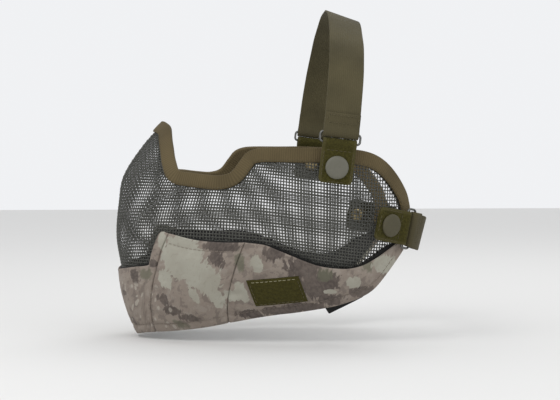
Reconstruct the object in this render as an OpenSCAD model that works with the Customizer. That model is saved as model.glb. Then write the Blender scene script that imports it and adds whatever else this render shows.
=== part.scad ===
// Lower-half face mask: a formed steel wire-mesh shell with a webbing edge, a padded
// camouflage skirt, and two elastic straps on snap-fastened hook-and-loop tabs.
//
// Millimetres. The origin is midway between the two upper snaps. +X is the wearer's left,
// -Y is the front and +Z is up. The mask is the same on both sides, so the left side is
// drawn and the right side is its mirror image.
//
// A place on the shell is given as [angle, height]. The angle is measured around the
// vertical axis through the origin: 0 at the nose, 90 at the upper snap, more towards
// the nape. A third value is the distance out from the middle of the mesh.

/* [Shell] */
// Half of the shell's width at the upper snaps
shell_half_w = 80; // [74:1:84]
// Depth of the shell behind the upper snaps, as the radius that its sides curl in on
shell_rear_r = 70; // [66:1:76]
// Thickness of the woven steel mesh
mesh_t = 1; // [0.8:0.1:1]

/* [Edge webbing] */
// Width of the folded webbing that binds the top and rear edges
bind_w = 10; // [8:0.5:11]
// Thickness of one ply of that webbing
bind_ply = 1.3; // [0.8:0.1:1.3]
// Width of the black tape that binds the mesh's lower edge
tape_w = 8; // [6:0.5:9]
// Thickness of one ply of the black tape
tape_ply = 0.6; // [0.4:0.1:0.6]

/* [Skirt] */
// Thickness of the outer camouflage fabric
fabric_t = 1.5; // [1:0.1:2]
// Thickness of the foam padding inside the skirt
padding_t = 2; // [1.5:0.1:2.2]
// Thickness of the inner lining
lining_t = 1.5; // [1:0.1:2]
// Length of the loop panel on the jaw
patch_l = 35; // [30:1:38]
// Height of the loop panel on the jaw
patch_h = 20; // [16:1:25]
// Thickness of the loop panel
patch_t = 1.5; // [1:0.1:2]

/* [Straps] */
// Width of both elastic straps
strap_w = 23.6; // [20:0.2:24]
// Thickness of the elastic
strap_t = 1.5; // [1:0.1:2]
// Height of the head strap's top above the upper snaps
strap_rise = 105; // [98:1:112]
// Backward lean of the head strap, in degrees
strap_lean = 7; // [0:1:12]

/* [Snaps and tabs] */
// Diameter of a snap's cap
cap_d = 15.3; // [13:0.1:16]
// Width of a hook-and-loop tab
tab_w = 22.5; // [18:0.5:23]
// Thickness of one ply of a tab
tab_ply = 1.2; // [1:0.1:1.4]
// Distance from an upper snap to its ring
upper_reach = 19.4; // [18.5:0.1:24]
// Distance from a rear snap to its ring
rear_reach = 17; // [16.8:0.1:22]
// Diameter of the ring wire
wire_d = 1.5; // [1.2:0.1:1.6]

/* [Hidden] */

// Colours
STEEL = "#55564f";
OLIVE = "#6b5d43";
LOOP_OLIVE = "#55512f";
CAMO = "#8b8174";
BLACK = "#26251f";
FOAM = "#3a3a38";
SNAP = "#6c6a5e";
WIRE = "#9a9a96";

// Shape of the shell: how far forward it reaches at each height, its half width as a
// share of shell_half_w, and the roundness of its front (2 is an ellipse, less is a beak)
REACH = [[-125, 123], [-95, 135], [-68, 140.5], [-48, 143.5], [-25, 141.8], [-7, 138.5],
    [14, 125], [30, 110.5], [40, 101]];
WIDTH = [[-125, 0.4], [-104, 0.625], [-86, 0.775], [-64, 0.9], [-40, 0.975], [-14, 1],
    [0, 1], [14, 0.981], [40, 0.912]];
ROUND = [[-125, 2.7], [-100, 2.6], [-72, 2.35], [-48, 2.15], [-27, 1.9], [-7, 1.65], [14, 1.5],
    [40, 1.4]];

// Edges, from the front to the rear corner. Each row of MESH is one column of the mesh:
// its top end and its bottom end
MESH = [[[0, 29], [0, -77]], [[3.6, 28.2], [3.8, -76.8]], [[8, 25], [8, -76]], [[14.3, 14.6], [14, -74]],
    [[19.5, 3.4], [19.5, -71]], [[23.2, -3.8], [23.5, -64]], [[28, -5.3], [28, -55.5]],
    [[34, -6.6], [34, -54.5]], [[39.2, -7], [39, -56]], [[43.6, -4.4], [44, -56]],
    [[46.4, 3.2], [49, -55.5]], [[48.3, 8], [53, -56]], [[51.5, 10.4], [57, -57.5]],
    [[57, 11.3], [62, -60]], [[72, 11.3], [73, -67]], [[86, 11.3], [85, -72]],
    [[98, 10.4], [95, -73.3]], [[106, 8.6], [102, -72.5]], [[112.5, 5], [108, -70]],
    [[118.6, -0.8], [113, -66]], [[125, -9.2], [117.5, -62]], [[130.4, -17.6], [121, -59.5]],
    [[133, -24.4], [124, -58.2]], [[134.4, -31], [126.5, -57.3]], [[134.2, -38], [128.2, -56.7]],
    [[132.8, -45], [129.5, -56]]];
CHIN = [[[0, -71], [0, -116]], [[7, -69.8], [3.6, -115.2]], [[14, -67.6], [6.9, -114]],
    [[19.6, -65.2], [9.2, -113]], [[21.4, -57], [10.2, -112.7]], [[23.6, -44.2], [11.3, -112.4]],
    [[26, -44.4], [12.3, -112.1]]];
CHEEK = [[[26.4, -44.4], [12.6, -112]], [[34, -48.2], [19.6, -109.9]], [[42, -49.4], [26.8, -107.2]],
    [[50, -49.3], [34, -104.1]]];
JAW = [[[50.4, -49.3], [34.4, -104]], [[57.4, -50.8], [45, -100.6]],
    [[63.2, -54.4], [56, -98.2]], [[69.5, -58.4], [65, -97]], [[76, -62.1], [74, -95.6]],
    [[83, -65], [82, -94.3]], [[91, -66.4], [91, -92.6]], [[98, -66.6], [99, -90.2]],
    [[105.4, -64.5], [107, -87]], [[113, -59.6], [114.5, -81.5]], [[119.4, -54.5], [121, -71]],
    [[124.5, -51], [126.5, -61.5]], [[129.1, -49.7], [130.4, -55]]];
LINING = [[[0, -72], [0, -115]], [[10, -70], [9, -112.2]], [[18, -67], [16, -110]],
    [[24, -57], [23, -107.8]], [[30, -49.6], [32, -104]], [[40, -50.6], [41, -101]],
    [[50, -50.4], [51, -98.4]], [[58, -52.6], [59, -97]], [[66, -57.4], [68, -95.6]],
    [[76, -63.4], [77, -94.2]], [[88, -67.4], [88, -92.2]], [[98, -67.6], [98, -89.6]],
    [[106, -65.4], [106, -86.4]], [[113.5, -60.4], [114, -80.8]], [[120, -55], [120.6, -70.4]],
    [[127, -51.4], [128, -58]]];
FOAM_PAD = [[[0, -79.5], [0, -113]], [[14, -76.5], [13, -108.6]], [[20, -73], [20, -106.5]],
    [[24, -66.5], [25, -104.5]], [[29, -58.5], [33, -101.5]], [[44, -58.8], [45, -97.7]],
    [[53, -58.6], [54, -95.6]], [[62, -62.8], [62, -94.3]], [[73, -69.8], [73, -92.6]],
    [[85, -74.8], [85, -90.6]], [[97, -75.8], [97, -87.6]], [[106, -73.6], [106, -83.6]],
    [[113, -69], [113, -78.6]], [[118, -64.6], [118.4, -70.6]], [[123, -61.6], [123.4, -64.6]]];

// Layers of the skirt, as distances out from the middle of the mesh
ply_gap = 0.25;
tape_out = mesh_t / 2 + ply_gap + tape_ply;
fabric_in = tape_out + 0.3;
fabric_out = fabric_in + fabric_t;
padding_out = padding_t / 2;
lining_out = -fabric_in;

// Snap fastener, line 24, along its own axis: distances out from the middle of the mesh
flange_d = 7.4;
stud_d = 5.6;
snap_play = 0.08;
shank_d = 3.4;
socket_d = 12;
post_in = -2.2;
stud_base = 0.95;
stud_neck = 1.7;
socket_base = 2.2;
stud_top = 3.8;
socket_web = 3.9;
socket_top = 4.2;
tab_in = 4.25;
tab_out = tab_in + 2 * tab_ply;
cap_base = tab_out + 0.05;
cap_h = 2.3;

// Backward slant of the loop panel's ends
patch_slant = 0.22;

// Rings: bars half this far from the ring's middle, in loops that leave them loose
ring_pitch = 6.5;
ring_in_w = strap_w + 1.4;
ring_corner = 2;
ring_play = 0.95;
loop_r = wire_d / 2 + ring_play;
ring_out = tab_in + tab_ply;

// Where the tabs are: snap centre, then the turn about Z, the tilt up and the roll about
// the snap's axis that bring the tab's length along its own Z
UPPER = [[shell_half_w, 0, 0], 0, 0, -strap_lean];
rear_snap = base(116.4, -38);
REAR = [rear_snap, 32, -6, -100];

// Head strap's middle line, in the plane of the strap: [across, up from the snaps]
ARCH = [[84.9, 27], [82.8, 40], [78, 54], [70, 68.5], [57.5, 82], [40, strap_rise - 11.5],
    [20.5, strap_rise - 2.9], [0, strap_rise]];
// Nape strap's middle line, on the left side
NAPE = [[57.6, 56.2, -43.5], [53.6, 59.8, -44.6], [46, 62.5, -45.6], [32, 64.6, -46.4],
    [16, 65.7, -46.8], [0, 66, -47]];

small = 0.5;

// Smooth curve through points [x, y], for any x between the ends
function rise(p, i) = let (a = max(i - 1, 0), b = min(i + 1, len(p) - 1))
    (p[b][1] - p[a][1]) / (p[b][0] - p[a][0]);
function piece(p, q, i = 0) = i >= len(p) - 2 || q <= p[i + 1][0] ? i : piece(p, q, i + 1);
function curve(p, q) = let (
        i = piece(p, q),
        h = p[i + 1][0] - p[i][0],
        u = min(max((q - p[i][0]) / h, 0), 1))
    (2 * u ^ 3 - 3 * u ^ 2 + 1) * p[i][1] + (u ^ 3 - 2 * u ^ 2 + u) * h * rise(p, i)
    + (3 * u ^ 2 - 2 * u ^ 3) * p[i + 1][1] + (u ^ 3 - u ^ 2) * h * rise(p, i + 1);

// Smooth line through points of any kind, cut into n steps between each two
function knot(p, i) = i < 0 ? 2 * p[0] - p[1]
    : i >= len(p) ? 2 * p[len(p) - 1] - p[len(p) - 2] : p[i];
function blend4(a, b, c, d, u) = 0.5 * (2 * b + (c - a) * u + (2 * a - 5 * b + 4 * c - d) * u ^ 2
    + (3 * b - a - 3 * c + d) * u ^ 3);
function smooth(p, n) = [for (i = [0 : len(p) - 2], k = [0 : n - 1])
    blend4(knot(p, i - 1), knot(p, i), knot(p, i + 1), knot(p, i + 2), k / n), p[len(p) - 1]];

// Middle surface of the shell, and the surface a distance d outside it
function base(a, z) = let (
        w = shell_half_w * curve(WIDTH, z),
        b = cos(a) >= 0 ? curve(REACH, z) : shell_rear_r,
        n = cos(a) >= 0 ? curve(ROUND, z) : 2,
        r = ((abs(sin(a)) / w) ^ n + (abs(cos(a)) / b) ^ n) ^ (-1 / n))
    [r * sin(a), -r * cos(a), z];
function unit(v) = v / norm(v);
function outward(a, z) = unit(cross(base(a + small, z) - base(a - small, z),
    base(a, z + small) - base(a, z - small)));
function at(a, z, d = 0) = base(a, z) + d * outward(a, z);

// The left half of a list of columns, with its mirror image before it
function mirrored(c) = [for (r = c) [for (e = r) [-e[0], e[1]]]];
function both(c) = concat([for (i = [len(c) - 1 : -1 : 1]) mirrored(c)[i]], c);

// Closed solid through rings of points. Each ring goes out along one side of the section
// and back along the other, so that its points j and n - 1 - j face each other
module skin(rings) {
    n = len(rings[0]);
    m = len(rings);
    wall = [for (i = [0 : m - 2], k = [0 : n - 1], h = [0, 1]) let (k2 = (k + 1) % n)
        h == 0 ? [i * n + k, i * n + k2, (i + 1) * n + k2]
            : [i * n + k, (i + 1) * n + k2, (i + 1) * n + k]];
    last = (m - 1) * n;
    ends = [for (j = [0 : n / 2 - 2]) each [
        [n - 1 - j, n - 2 - j, j],
        [n - 2 - j, j + 1, j],
        [last + j, last + j + 1, last + n - 1 - j],
        [last + j + 1, last + n - 2 - j, last + n - 1 - j]]];
    polyhedron([for (r = rings) each r], concat(wall, ends), convexity = 8);
}

// Sheet on the shell between two distances, with columns from a list and `rows` rows
module sheet(columns, inner, outer, steps, rows) {
    lines = smooth(columns, steps);
    skin([for (c = lines) concat(
        [for (j = [0 : rows]) let (e = c[0] + (c[1] - c[0]) * j / rows) at(e[0], e[1], outer)],
        [for (j = [rows : -1 : 0]) let (e = c[0] + (c[1] - c[0]) * j / rows)
            at(e[0], e[1], inner)])]);
}

// A point on the shell a distance s from the edge point e, square to the edge direction
// and into the material, reached in short steps so that it stays on the surface
function turn_in(e, way, s) = let (
        n = outward(e[0], e[1]),
        side = unit(cross(way, n)),
        pa = (base(e[0] + small, e[1]) - base(e[0] - small, e[1])) / (2 * small),
        pz = (base(e[0], e[1] + small) - base(e[0], e[1] - small)) / (2 * small),
        rest = side - side[2] * pz)
    [e[0] + s * rest * pa / (pa * pa), e[1] + s * side[2]];
function inset(e, way, s, n = 3) = n == 0 ? e : inset(turn_in(e, way, s / n), way, s * (n - 1) / n, n - 1);

// Folded tape round an edge of the mesh: edge is a list of [angle, height], width is its
// reach over the mesh and ply its thickness
module folded_tape(edge, width, ply, steps) {
    e = smooth(edge, steps);
    n = len(e) - 1;
    g = mesh_t / 2 + ply_gap;
    out = g + ply;
    fold = ply + ply_gap;
    half = [[[width, g + ply * 0.6], [width, g]], [[width - 0.6, out], [width - 0.6, g]],
        [[width / 2, out], [width / 2, g]], [[0, out], [0, g]],
        [[-fold * 0.75, out * 0.6], [-ply_gap, g / 2]]];
    under = [for (i = [len(half) - 1 : -1 : 0]) [for (q = half[i]) [q[0], -q[1]]]];
    pairs = concat(half, [[[-fold, 0], [-ply_gap, 0]]], under);
    section = concat([for (q = pairs) q[0]], [for (i = [len(pairs) - 1 : -1 : 0]) pairs[i][1]]);
    skin([for (i = [0 : n]) let (
            a = e[max(i - 1, 0)],
            b = e[min(i + 1, n)],
            way = base(b[0], b[1]) - base(a[0], a[1]))
        [for (q = section) let (c = inset(e[i], way, q[0])) at(c[0], c[1], q[1])]]);
}

// Flat ribbon along a line of points, with the direction of its width at each point
module ribbon(line, across, width, thick) {
    n = len(line) - 1;
    skin([for (i = [0 : n]) let (
            way = unit(line[min(i + 1, n)] - line[max(i - 1, 0)]),
            side = unit(across[i] - (across[i] * way) * way),
            out = cross(side, way))
        [for (q = [[-1, -1], [1, -1], [1, 1], [-1, 1]])
            line[i] + q[0] * side * width / 2 + q[1] * out * thick / 2]]);
}

// Places its children at a snap: local X is the snap's axis, out from the shell, and
// local Z is the tab's length
module on(place) {
    translate(place[0]) rotate([0, 0, place[1]]) rotate([0, -place[2], 0])
        rotate([place[3], 0, 0]) children();
}

module right_of() {
    mirror([1, 0, 0]) children();
}

// Round solid along local X, from x0 to x1
module disc(d, x0, x1) {
    translate([x0, 0, 0]) rotate([0, 90, 0]) cylinder(d = d, h = x1 - x0, $fn = 48);
}

// Bar along local Y
module bar(r, length) {
    rotate([90, 0, 0]) cylinder(r = r, h = length, center = true, $fn = 32);
}

// Mesh shell, with a clear hole for each snap post
module mesh_shell() {
    color(STEEL) difference() {
        sheet(both(MESH), -mesh_t / 2, mesh_t / 2, 3, 9);
        post_hole(UPPER);
        post_hole(REAR);
        right_of() post_hole(UPPER);
        right_of() post_hole(REAR);
    }
}

module post_hole(place) {
    on(place) disc(shank_d + 0.4, -4, 4);
}

// Top, eye, temple and ear edge, bound in folded webbing
module edge_webbing() {
    color(OLIVE) difference() {
        folded_tape([for (c = both(MESH)) c[0]], bind_w - bind_ply - ply_gap, bind_ply, 3);
        snap_recess();
        right_of() snap_recess();
    }
}

// Recess in the webbing's border that the upper snap's flanges sit in
module snap_recess() {
    on(UPPER) disc(flange_d + 2.6, -4, 4);
}

// Lower edge of the mesh, bound in black tape that shows as a line above the skirt
module lower_tape() {
    color(BLACK) folded_tape([for (i = [len(MESH) * 2 - 2 : -1 : 0]) both(MESH)[i][1]],
        tape_w - tape_ply - ply_gap, tape_ply, 2);
}

// Outer fabric
module chin_panel() {
    color(CAMO) sheet(both(CHIN), fabric_in, fabric_out, 2, 6);
}

module cheek_panel() {
    color(CAMO) sheet(CHEEK, fabric_in, fabric_out, 3, 8);
}

module jaw_panel() {
    color(CAMO) sheet(JAW, fabric_in, fabric_out, 2, 5);
}

module foam_padding() {
    color(FOAM) sheet(both(FOAM_PAD), -padding_out, padding_out, 3, 4);
}

module inner_lining() {
    color(BLACK) sheet(both(LINING), lining_out - lining_t, lining_out, 3, 6);
}

// Flat loop panel with slanted ends, touching the jaw panel at its middle
module loop_patch() {
    color(LOOP_OLIVE) on(patch_place()) translate([0.1, 0, 0]) rotate([90, 0, 90])
        linear_extrude(height = patch_t)
            polygon([for (q = [[-1, -1], [1, -1], [1, 1], [-1, 1]])
                [q[0] * patch_l / 2 - patch_slant * q[1] * patch_h / 2, q[1] * patch_h / 2]]);
}
function patch_place() = let (a = 59.5, z = -81.2, n = outward(a, z))
    [at(a, z, fabric_out), atan2(n[1], n[0]), asin(n[2]), 6];

// Snap post: flange inside the mesh, with a shank up through it
module snap_post(place) {
    color(SNAP) on(place) {
        disc(flange_d + 2, post_in, post_in + 0.8);
        disc(shank_d, post_in + 0.4, stud_base - 0.02);
    }
}

// Snap stud: flange outside the mesh, and the knob that the socket grips
module snap_stud(place) {
    color(SNAP) on(place) {
        disc(flange_d, stud_base, stud_neck);
        disc(stud_d, stud_neck - 0.2, stud_top);
    }
}

// Snap socket, on the tab's inner face
module snap_socket(place) {
    color(SNAP) on(place) difference() {
        disc(socket_d, socket_base, socket_top);
        disc(stud_d + 2 * snap_play, socket_base - 1, socket_web);
    }
}

// Snap cap: a domed head outside the tab and a shank through it
module snap_cap(place) {
    color(SNAP) on(place) {
        disc(shank_d, socket_top + 0.02, cap_base + 0.2);
        translate([cap_base, 0, 0]) rotate([0, 90, 0]) rotate_extrude($fn = 64)
            polygon([[0, 0], [cap_d / 2 - 0.4, 0], [cap_d / 2, 0.5], [cap_d / 2, 1],
                [cap_d / 2 - 0.5, 1.6], [cap_d / 2 - 1.6, 2.05], [cap_d / 2 - 3.4, cap_h], [0, cap_h]]);
    }
}

// Tab: two plies of hook and loop, folded round the ring's inner bar
module tab(place, reach) {
    loop_z = reach - ring_pitch / 2;
    color(LOOP_OLIVE) on(place) difference() {
        union() {
            translate([tab_in, -tab_w / 2, -7]) cube([2 * tab_ply, tab_w, loop_z + 7]);
            translate([tab_in, -tab_w / 2 + 4, -11]) cube([2 * tab_ply, tab_w - 8, 8]);
            for (y = [4 - tab_w / 2, tab_w / 2 - 4])
                translate([0, y, -7]) disc(8, tab_in, tab_out);
            translate([ring_out, 0, loop_z]) bar(loop_r + tab_ply, tab_w);
        }
        disc(shank_d + 0.2, 0, 12);
        translate([ring_out, 0, loop_z]) bar(loop_r, tab_w + 2);
    }
}

// Rectangular wire ring between a tab and a strap
module ring(place, reach) {
    long = ring_in_w + wire_d;
    color(WIRE) on(place) translate([ring_out, 0, reach]) {
        for (s = [-1, 1]) {
            translate([0, 0, s * ring_pitch / 2]) bar(wire_d / 2, long - 2 * ring_corner);
            translate([0, s * long / 2, 0])
                cylinder(d = wire_d, h = ring_pitch - 2 * ring_corner, center = true, $fn = 32);
        }
        for (s = [-1, 1], u = [-1, 1])
            translate([0, s * (long / 2 - ring_corner), u * (ring_pitch / 2 - ring_corner)])
                rotate([0, 90, 0]) rotate([0, 0, u > 0 ? (s > 0 ? 90 : 180) : (s > 0 ? 0 : 270)])
                    rotate_extrude(angle = 90, $fn = 32) translate([ring_corner, 0])
                        circle(d = wire_d, $fn = 32);
    }
}

// Folded and stitched end of a strap, round the ring's outer bar
module strap_end(place, reach, flap) {
    on(place) translate([ring_out, 0, reach + ring_pitch / 2]) difference() {
        union() {
            bar(loop_r + tab_ply, strap_w);
            translate([-strap_t * 0.9, -strap_w / 2, 0]) cube([strap_t * 1.8, strap_w, flap]);
        }
        bar(loop_r, strap_w + 2);
    }
}

// Head strap: an arch in a plane that leans back, twisting a little to lie flat on the
// back of the head at its top
module head_strap() {
    half = smooth(ARCH, 3);
    n = len(half) - 1;
    path = concat(half, [for (i = [n - 1 : -1 : 0]) [-half[i][0], half[i][1]]]);
    twist = 12;
    color(OLIVE) {
        ribbon([for (q = path) [q[0], q[1] * sin(strap_lean), q[1] * cos(strap_lean)]],
            [for (q = path) let (t = strap_lean + twist * cos(90 * min(abs(q[0]) / 80, 1)))
                [0, cos(t), -sin(t)]], strap_w, strap_t);
        strap_end(UPPER, upper_reach, 13);
        right_of() strap_end(UPPER, upper_reach, 13);
    }
}

// Nape strap: out of the rear rings and across the nape
module nape_strap() {
    half = smooth(NAPE, 2);
    n = len(half) - 1;
    path = concat(half, [for (i = [n - 1 : -1 : 0]) [-half[i][0], half[i][1], half[i][2]]]);
    color(OLIVE) {
        ribbon(path, [for (q = path) [0.04 * q[0] / 60, 0.243, 0.969]], strap_w, strap_t);
        strap_end(REAR, rear_reach, 5.5);
        right_of() strap_end(REAR, rear_reach, 5.5);
    }
}

// Short black tab under the rear hem, fixed at its rear end
module hem_tab() {
    color(BLACK) on([[54.6, 19, -83.5], 5, -30, 122]) translate([-0.6, -6, 0]) cube([1.2, 12, 26]);
}

mesh_shell();
edge_webbing();
lower_tape();
chin_panel();
cheek_panel();  // cheek_panel_left
right_of() cheek_panel();  // cheek_panel_right
jaw_panel();  // jaw_panel_left
right_of() jaw_panel();  // jaw_panel_right
foam_padding();
inner_lining();
loop_patch();  // loop_patch_left
right_of() loop_patch();  // loop_patch_right
snap_post(UPPER);  // snap_post_upper_left
right_of() snap_post(UPPER);  // snap_post_upper_right
snap_post(REAR);  // snap_post_rear_left
right_of() snap_post(REAR);  // snap_post_rear_right
snap_stud(UPPER);  // snap_stud_upper_left
right_of() snap_stud(UPPER);  // snap_stud_upper_right
snap_stud(REAR);  // snap_stud_rear_left
right_of() snap_stud(REAR);  // snap_stud_rear_right
snap_socket(UPPER);  // snap_socket_upper_left
right_of() snap_socket(UPPER);  // snap_socket_upper_right
snap_socket(REAR);  // snap_socket_rear_left
right_of() snap_socket(REAR);  // snap_socket_rear_right
snap_cap(UPPER);  // snap_cap_upper_left
right_of() snap_cap(UPPER);  // snap_cap_upper_right
snap_cap(REAR);  // snap_cap_rear_left
right_of() snap_cap(REAR);  // snap_cap_rear_right
tab(UPPER, upper_reach);  // tab_upper_left
right_of() tab(UPPER, upper_reach);  // tab_upper_right
tab(REAR, rear_reach);  // tab_rear_left
right_of() tab(REAR, rear_reach);  // tab_rear_right
ring(UPPER, upper_reach);  // ring_upper_left
right_of() ring(UPPER, upper_reach);  // ring_upper_right
ring(REAR, rear_reach);  // ring_rear_left
right_of() ring(REAR, rear_reach);  // ring_rear_right
head_strap();
nape_strap();
hem_tab();  // hem_tab_left
right_of() hem_tab();  // hem_tab_right
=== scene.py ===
import math

import bpy
import numpy as np
from mathutils import Matrix, Vector


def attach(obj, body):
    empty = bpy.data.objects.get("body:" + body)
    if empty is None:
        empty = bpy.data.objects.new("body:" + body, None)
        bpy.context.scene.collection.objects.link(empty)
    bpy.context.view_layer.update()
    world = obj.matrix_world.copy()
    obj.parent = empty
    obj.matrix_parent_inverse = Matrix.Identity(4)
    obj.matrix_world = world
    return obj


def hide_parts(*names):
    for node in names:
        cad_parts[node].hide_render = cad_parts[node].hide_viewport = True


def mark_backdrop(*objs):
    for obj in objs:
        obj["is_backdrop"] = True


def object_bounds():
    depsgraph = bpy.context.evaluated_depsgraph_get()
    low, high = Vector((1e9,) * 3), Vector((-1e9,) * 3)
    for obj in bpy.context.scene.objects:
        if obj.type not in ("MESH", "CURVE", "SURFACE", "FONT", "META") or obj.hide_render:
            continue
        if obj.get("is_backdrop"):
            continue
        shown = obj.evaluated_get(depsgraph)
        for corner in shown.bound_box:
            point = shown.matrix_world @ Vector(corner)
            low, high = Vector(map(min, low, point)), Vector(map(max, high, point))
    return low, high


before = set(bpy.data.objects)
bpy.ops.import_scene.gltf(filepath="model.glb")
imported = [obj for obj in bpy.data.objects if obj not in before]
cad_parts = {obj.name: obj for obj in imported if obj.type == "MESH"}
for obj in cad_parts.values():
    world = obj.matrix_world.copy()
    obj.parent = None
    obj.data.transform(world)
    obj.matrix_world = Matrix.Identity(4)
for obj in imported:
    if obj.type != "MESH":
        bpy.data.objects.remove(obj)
cad_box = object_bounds()

# Millimetres are used until a mesh is made. Origin midway between the upper snaps,
# +X the wearer's left, -Y the front, +Z up, as in the CAD source.
MM = 0.001
SIDES = ((1, "left"), (-1, "right"))

# ---------------------------------------------------------------- CAD surface

HALF_W = 80.0
REAR_R = 70.0
MESH_T = 1.0
BIND_W = 10.0
BIND_PLY = 1.3
TAPE_W = 8.0
TAPE_PLY = 0.6
PLY_GAP = 0.25
FABRIC_IN = MESH_T / 2 + PLY_GAP + TAPE_PLY + 0.3
FABRIC_T = 1.5
FABRIC_OUT = FABRIC_IN + FABRIC_T
LINING_T = 1.5
PAD_T = 2.0

REACH = [[-125, 123], [-95, 135], [-68, 140.5], [-48, 143.5], [-25, 141.8], [-7, 138.5],
         [14, 125], [30, 110.5], [40, 101]]
WIDTH = [[-125, 0.4], [-104, 0.625], [-86, 0.775], [-64, 0.9], [-40, 0.975], [-14, 1],
         [0, 1], [14, 0.981], [40, 0.912]]
ROUND = [[-125, 2.7], [-100, 2.6], [-72, 2.35], [-48, 2.15], [-27, 1.9], [-7, 1.65], [14, 1.5],
         [40, 1.4]]

MESH = [[[0, 29], [0, -77]], [[3.6, 28.2], [3.8, -76.8]], [[8, 25], [8, -76]],
        [[14.3, 14.6], [14, -74]], [[19.5, 3.4], [19.5, -71]], [[23.2, -3.8], [23.5, -64]],
        [[28, -5.3], [28, -55.5]], [[34, -6.6], [34, -54.5]], [[39.2, -7], [39, -56]],
        [[43.6, -4.4], [44, -56]], [[46.4, 3.2], [49, -55.5]], [[48.3, 8], [53, -56]],
        [[51.5, 10.4], [57, -57.5]], [[57, 11.3], [62, -60]], [[72, 11.3], [73, -67]],
        [[86, 11.3], [85, -72]], [[98, 10.4], [95, -73.3]], [[106, 8.6], [102, -72.5]],
        [[112.5, 5], [108, -70]], [[118.6, -0.8], [113, -66]], [[125, -9.2], [117.5, -62]],
        [[130.4, -17.6], [121, -59.5]], [[133, -24.4], [124, -58.2]],
        [[134.4, -31], [126.5, -57.3]], [[134.2, -38], [128.2, -56.7]],
        [[132.8, -45], [129.5, -56]]]
CHIN = [[[0, -71], [0, -116]], [[7, -69.8], [3.6, -115.2]], [[14, -67.6], [6.9, -114]],
        [[19.6, -65.2], [9.2, -113]], [[21.4, -57], [10.2, -112.7]], [[23.6, -44.2], [11.3, -112.4]],
        [[26, -44.4], [12.3, -112.1]]]
CHEEK = [[[26.4, -44.4], [12.6, -112]], [[34, -48.2], [19.6, -109.9]], [[42, -49.4], [26.8, -107.2]],
         [[50, -49.3], [34, -104.1]]]
JAW = [[[50.4, -49.3], [34.4, -104]], [[57.4, -50.8], [45, -100.6]],
       [[63.2, -54.4], [56, -98.2]], [[69.5, -58.4], [65, -97]], [[76, -62.1], [74, -95.6]],
       [[83, -65], [82, -94.3]], [[91, -66.4], [91, -92.6]], [[98, -66.6], [99, -90.2]],
       [[105.4, -64.5], [107, -87]], [[113, -59.6], [114.5, -81.5]], [[119.4, -54.5], [121, -71]],
       [[124.5, -51], [126.5, -61.5]], [[129.1, -49.7], [130.4, -55]]]
LINING = [[[0, -72], [0, -115]], [[10, -70], [9, -112.2]], [[18, -67], [16, -110]],
          [[24, -57], [23, -107.8]], [[30, -49.6], [32, -104]], [[40, -50.6], [41, -101]],
          [[50, -50.4], [51, -98.4]], [[58, -52.6], [59, -97]], [[66, -57.4], [68, -95.6]],
          [[76, -63.4], [77, -94.2]], [[88, -67.4], [88, -92.2]], [[98, -67.6], [98, -89.6]],
          [[106, -65.4], [106, -86.4]], [[113.5, -60.4], [114, -80.8]], [[120, -55], [120.6, -70.4]],
          [[127, -51.4], [128, -58]]]
FOAM = [[[0, -79.5], [0, -113]], [[14, -76.5], [13, -108.6]], [[20, -73], [20, -106.5]],
        [[24, -66.5], [25, -104.5]], [[29, -58.5], [33, -101.5]], [[44, -58.8], [45, -97.7]],
        [[53, -58.6], [54, -95.6]], [[62, -62.8], [62, -94.3]], [[73, -69.8], [73, -92.6]],
        [[85, -74.8], [85, -90.6]], [[97, -75.8], [97, -87.6]], [[106, -73.6], [106, -83.6]],
        [[113, -69], [113, -78.6]], [[118, -64.6], [118.4, -70.6]], [[123, -61.6], [123.4, -64.6]]]


def curve(table):
    """The CAD's smooth curve through a table's points, for arrays."""
    x, y = np.array(table, float).T
    m = np.empty_like(y)
    m[0], m[-1] = (y[1] - y[0]) / (x[1] - x[0]), (y[-1] - y[-2]) / (x[-1] - x[-2])
    m[1:-1] = (y[2:] - y[:-2]) / (x[2:] - x[:-2])

    def f(q):
        i = np.clip(np.searchsorted(x, q, side="right") - 1, 0, len(x) - 2)
        h = x[i + 1] - x[i]
        u = np.clip((q - x[i]) / h, 0, 1)
        return ((2 * u**3 - 3 * u**2 + 1) * y[i] + (u**3 - 2 * u**2 + u) * h * m[i]
                + (3 * u**2 - 2 * u**3) * y[i + 1] + (u**3 - u**2) * h * m[i + 1])
    return f


reach, width, roundness = curve(REACH), curve(WIDTH), curve(ROUND)


def smooth(points, n):
    """Catmull-Rom line through points of any shape, n steps between each two."""
    p = np.array(points, float)
    p = np.concatenate([2 * p[:1] - p[1:2], p, 2 * p[-1:] - p[-2:-1]])
    out = []
    for i in range(1, len(p) - 2):
        a, b, c, d = p[i - 1], p[i], p[i + 1], p[i + 2]
        for k in range(n):
            u = k / n
            out.append(0.5 * (2 * b + (c - a) * u + (2 * a - 5 * b + 4 * c - d) * u * u
                              + (3 * b - a - 3 * c + d) * u**3))
    out.append(p[-2])
    return np.array(out)


def base(a, z):
    """Middle of the shell at angle a in degrees and height z."""
    a, z = np.broadcast_arrays(np.asarray(a, float), np.asarray(z, float))
    s, c = np.sin(np.radians(a)), np.cos(np.radians(a))
    front = c >= 0
    w = HALF_W * width(z)
    b = np.where(front, reach(z), REAR_R)
    n = np.where(front, roundness(z), 2.0)
    r = ((np.abs(s) / w) ** n + (np.abs(c) / b) ** n) ** (-1 / n)
    return np.stack([r * s, -r * c, z], -1)


def unit(v):
    return v / np.maximum(np.linalg.norm(v, axis=-1, keepdims=True), 1e-12)


def outward(a, z, e=0.5):
    return unit(np.cross(base(a + e, z) - base(a - e, z), base(a, z + e) - base(a, z - e)))


def at(a, z, d=0.0):
    return base(a, z) + np.asarray(d, float)[..., None] * outward(a, z)


def on_shell(q, d=0.0):
    """Places [angle, height] at a distance d from the middle of the mesh."""
    return at(q[..., 0], q[..., 1], d)


def facing(q):
    """The way out of the shell at places [angle, height]."""
    return outward(q[..., 0], q[..., 1])


def middle_at(q):
    return base(q[..., 0], q[..., 1])


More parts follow.
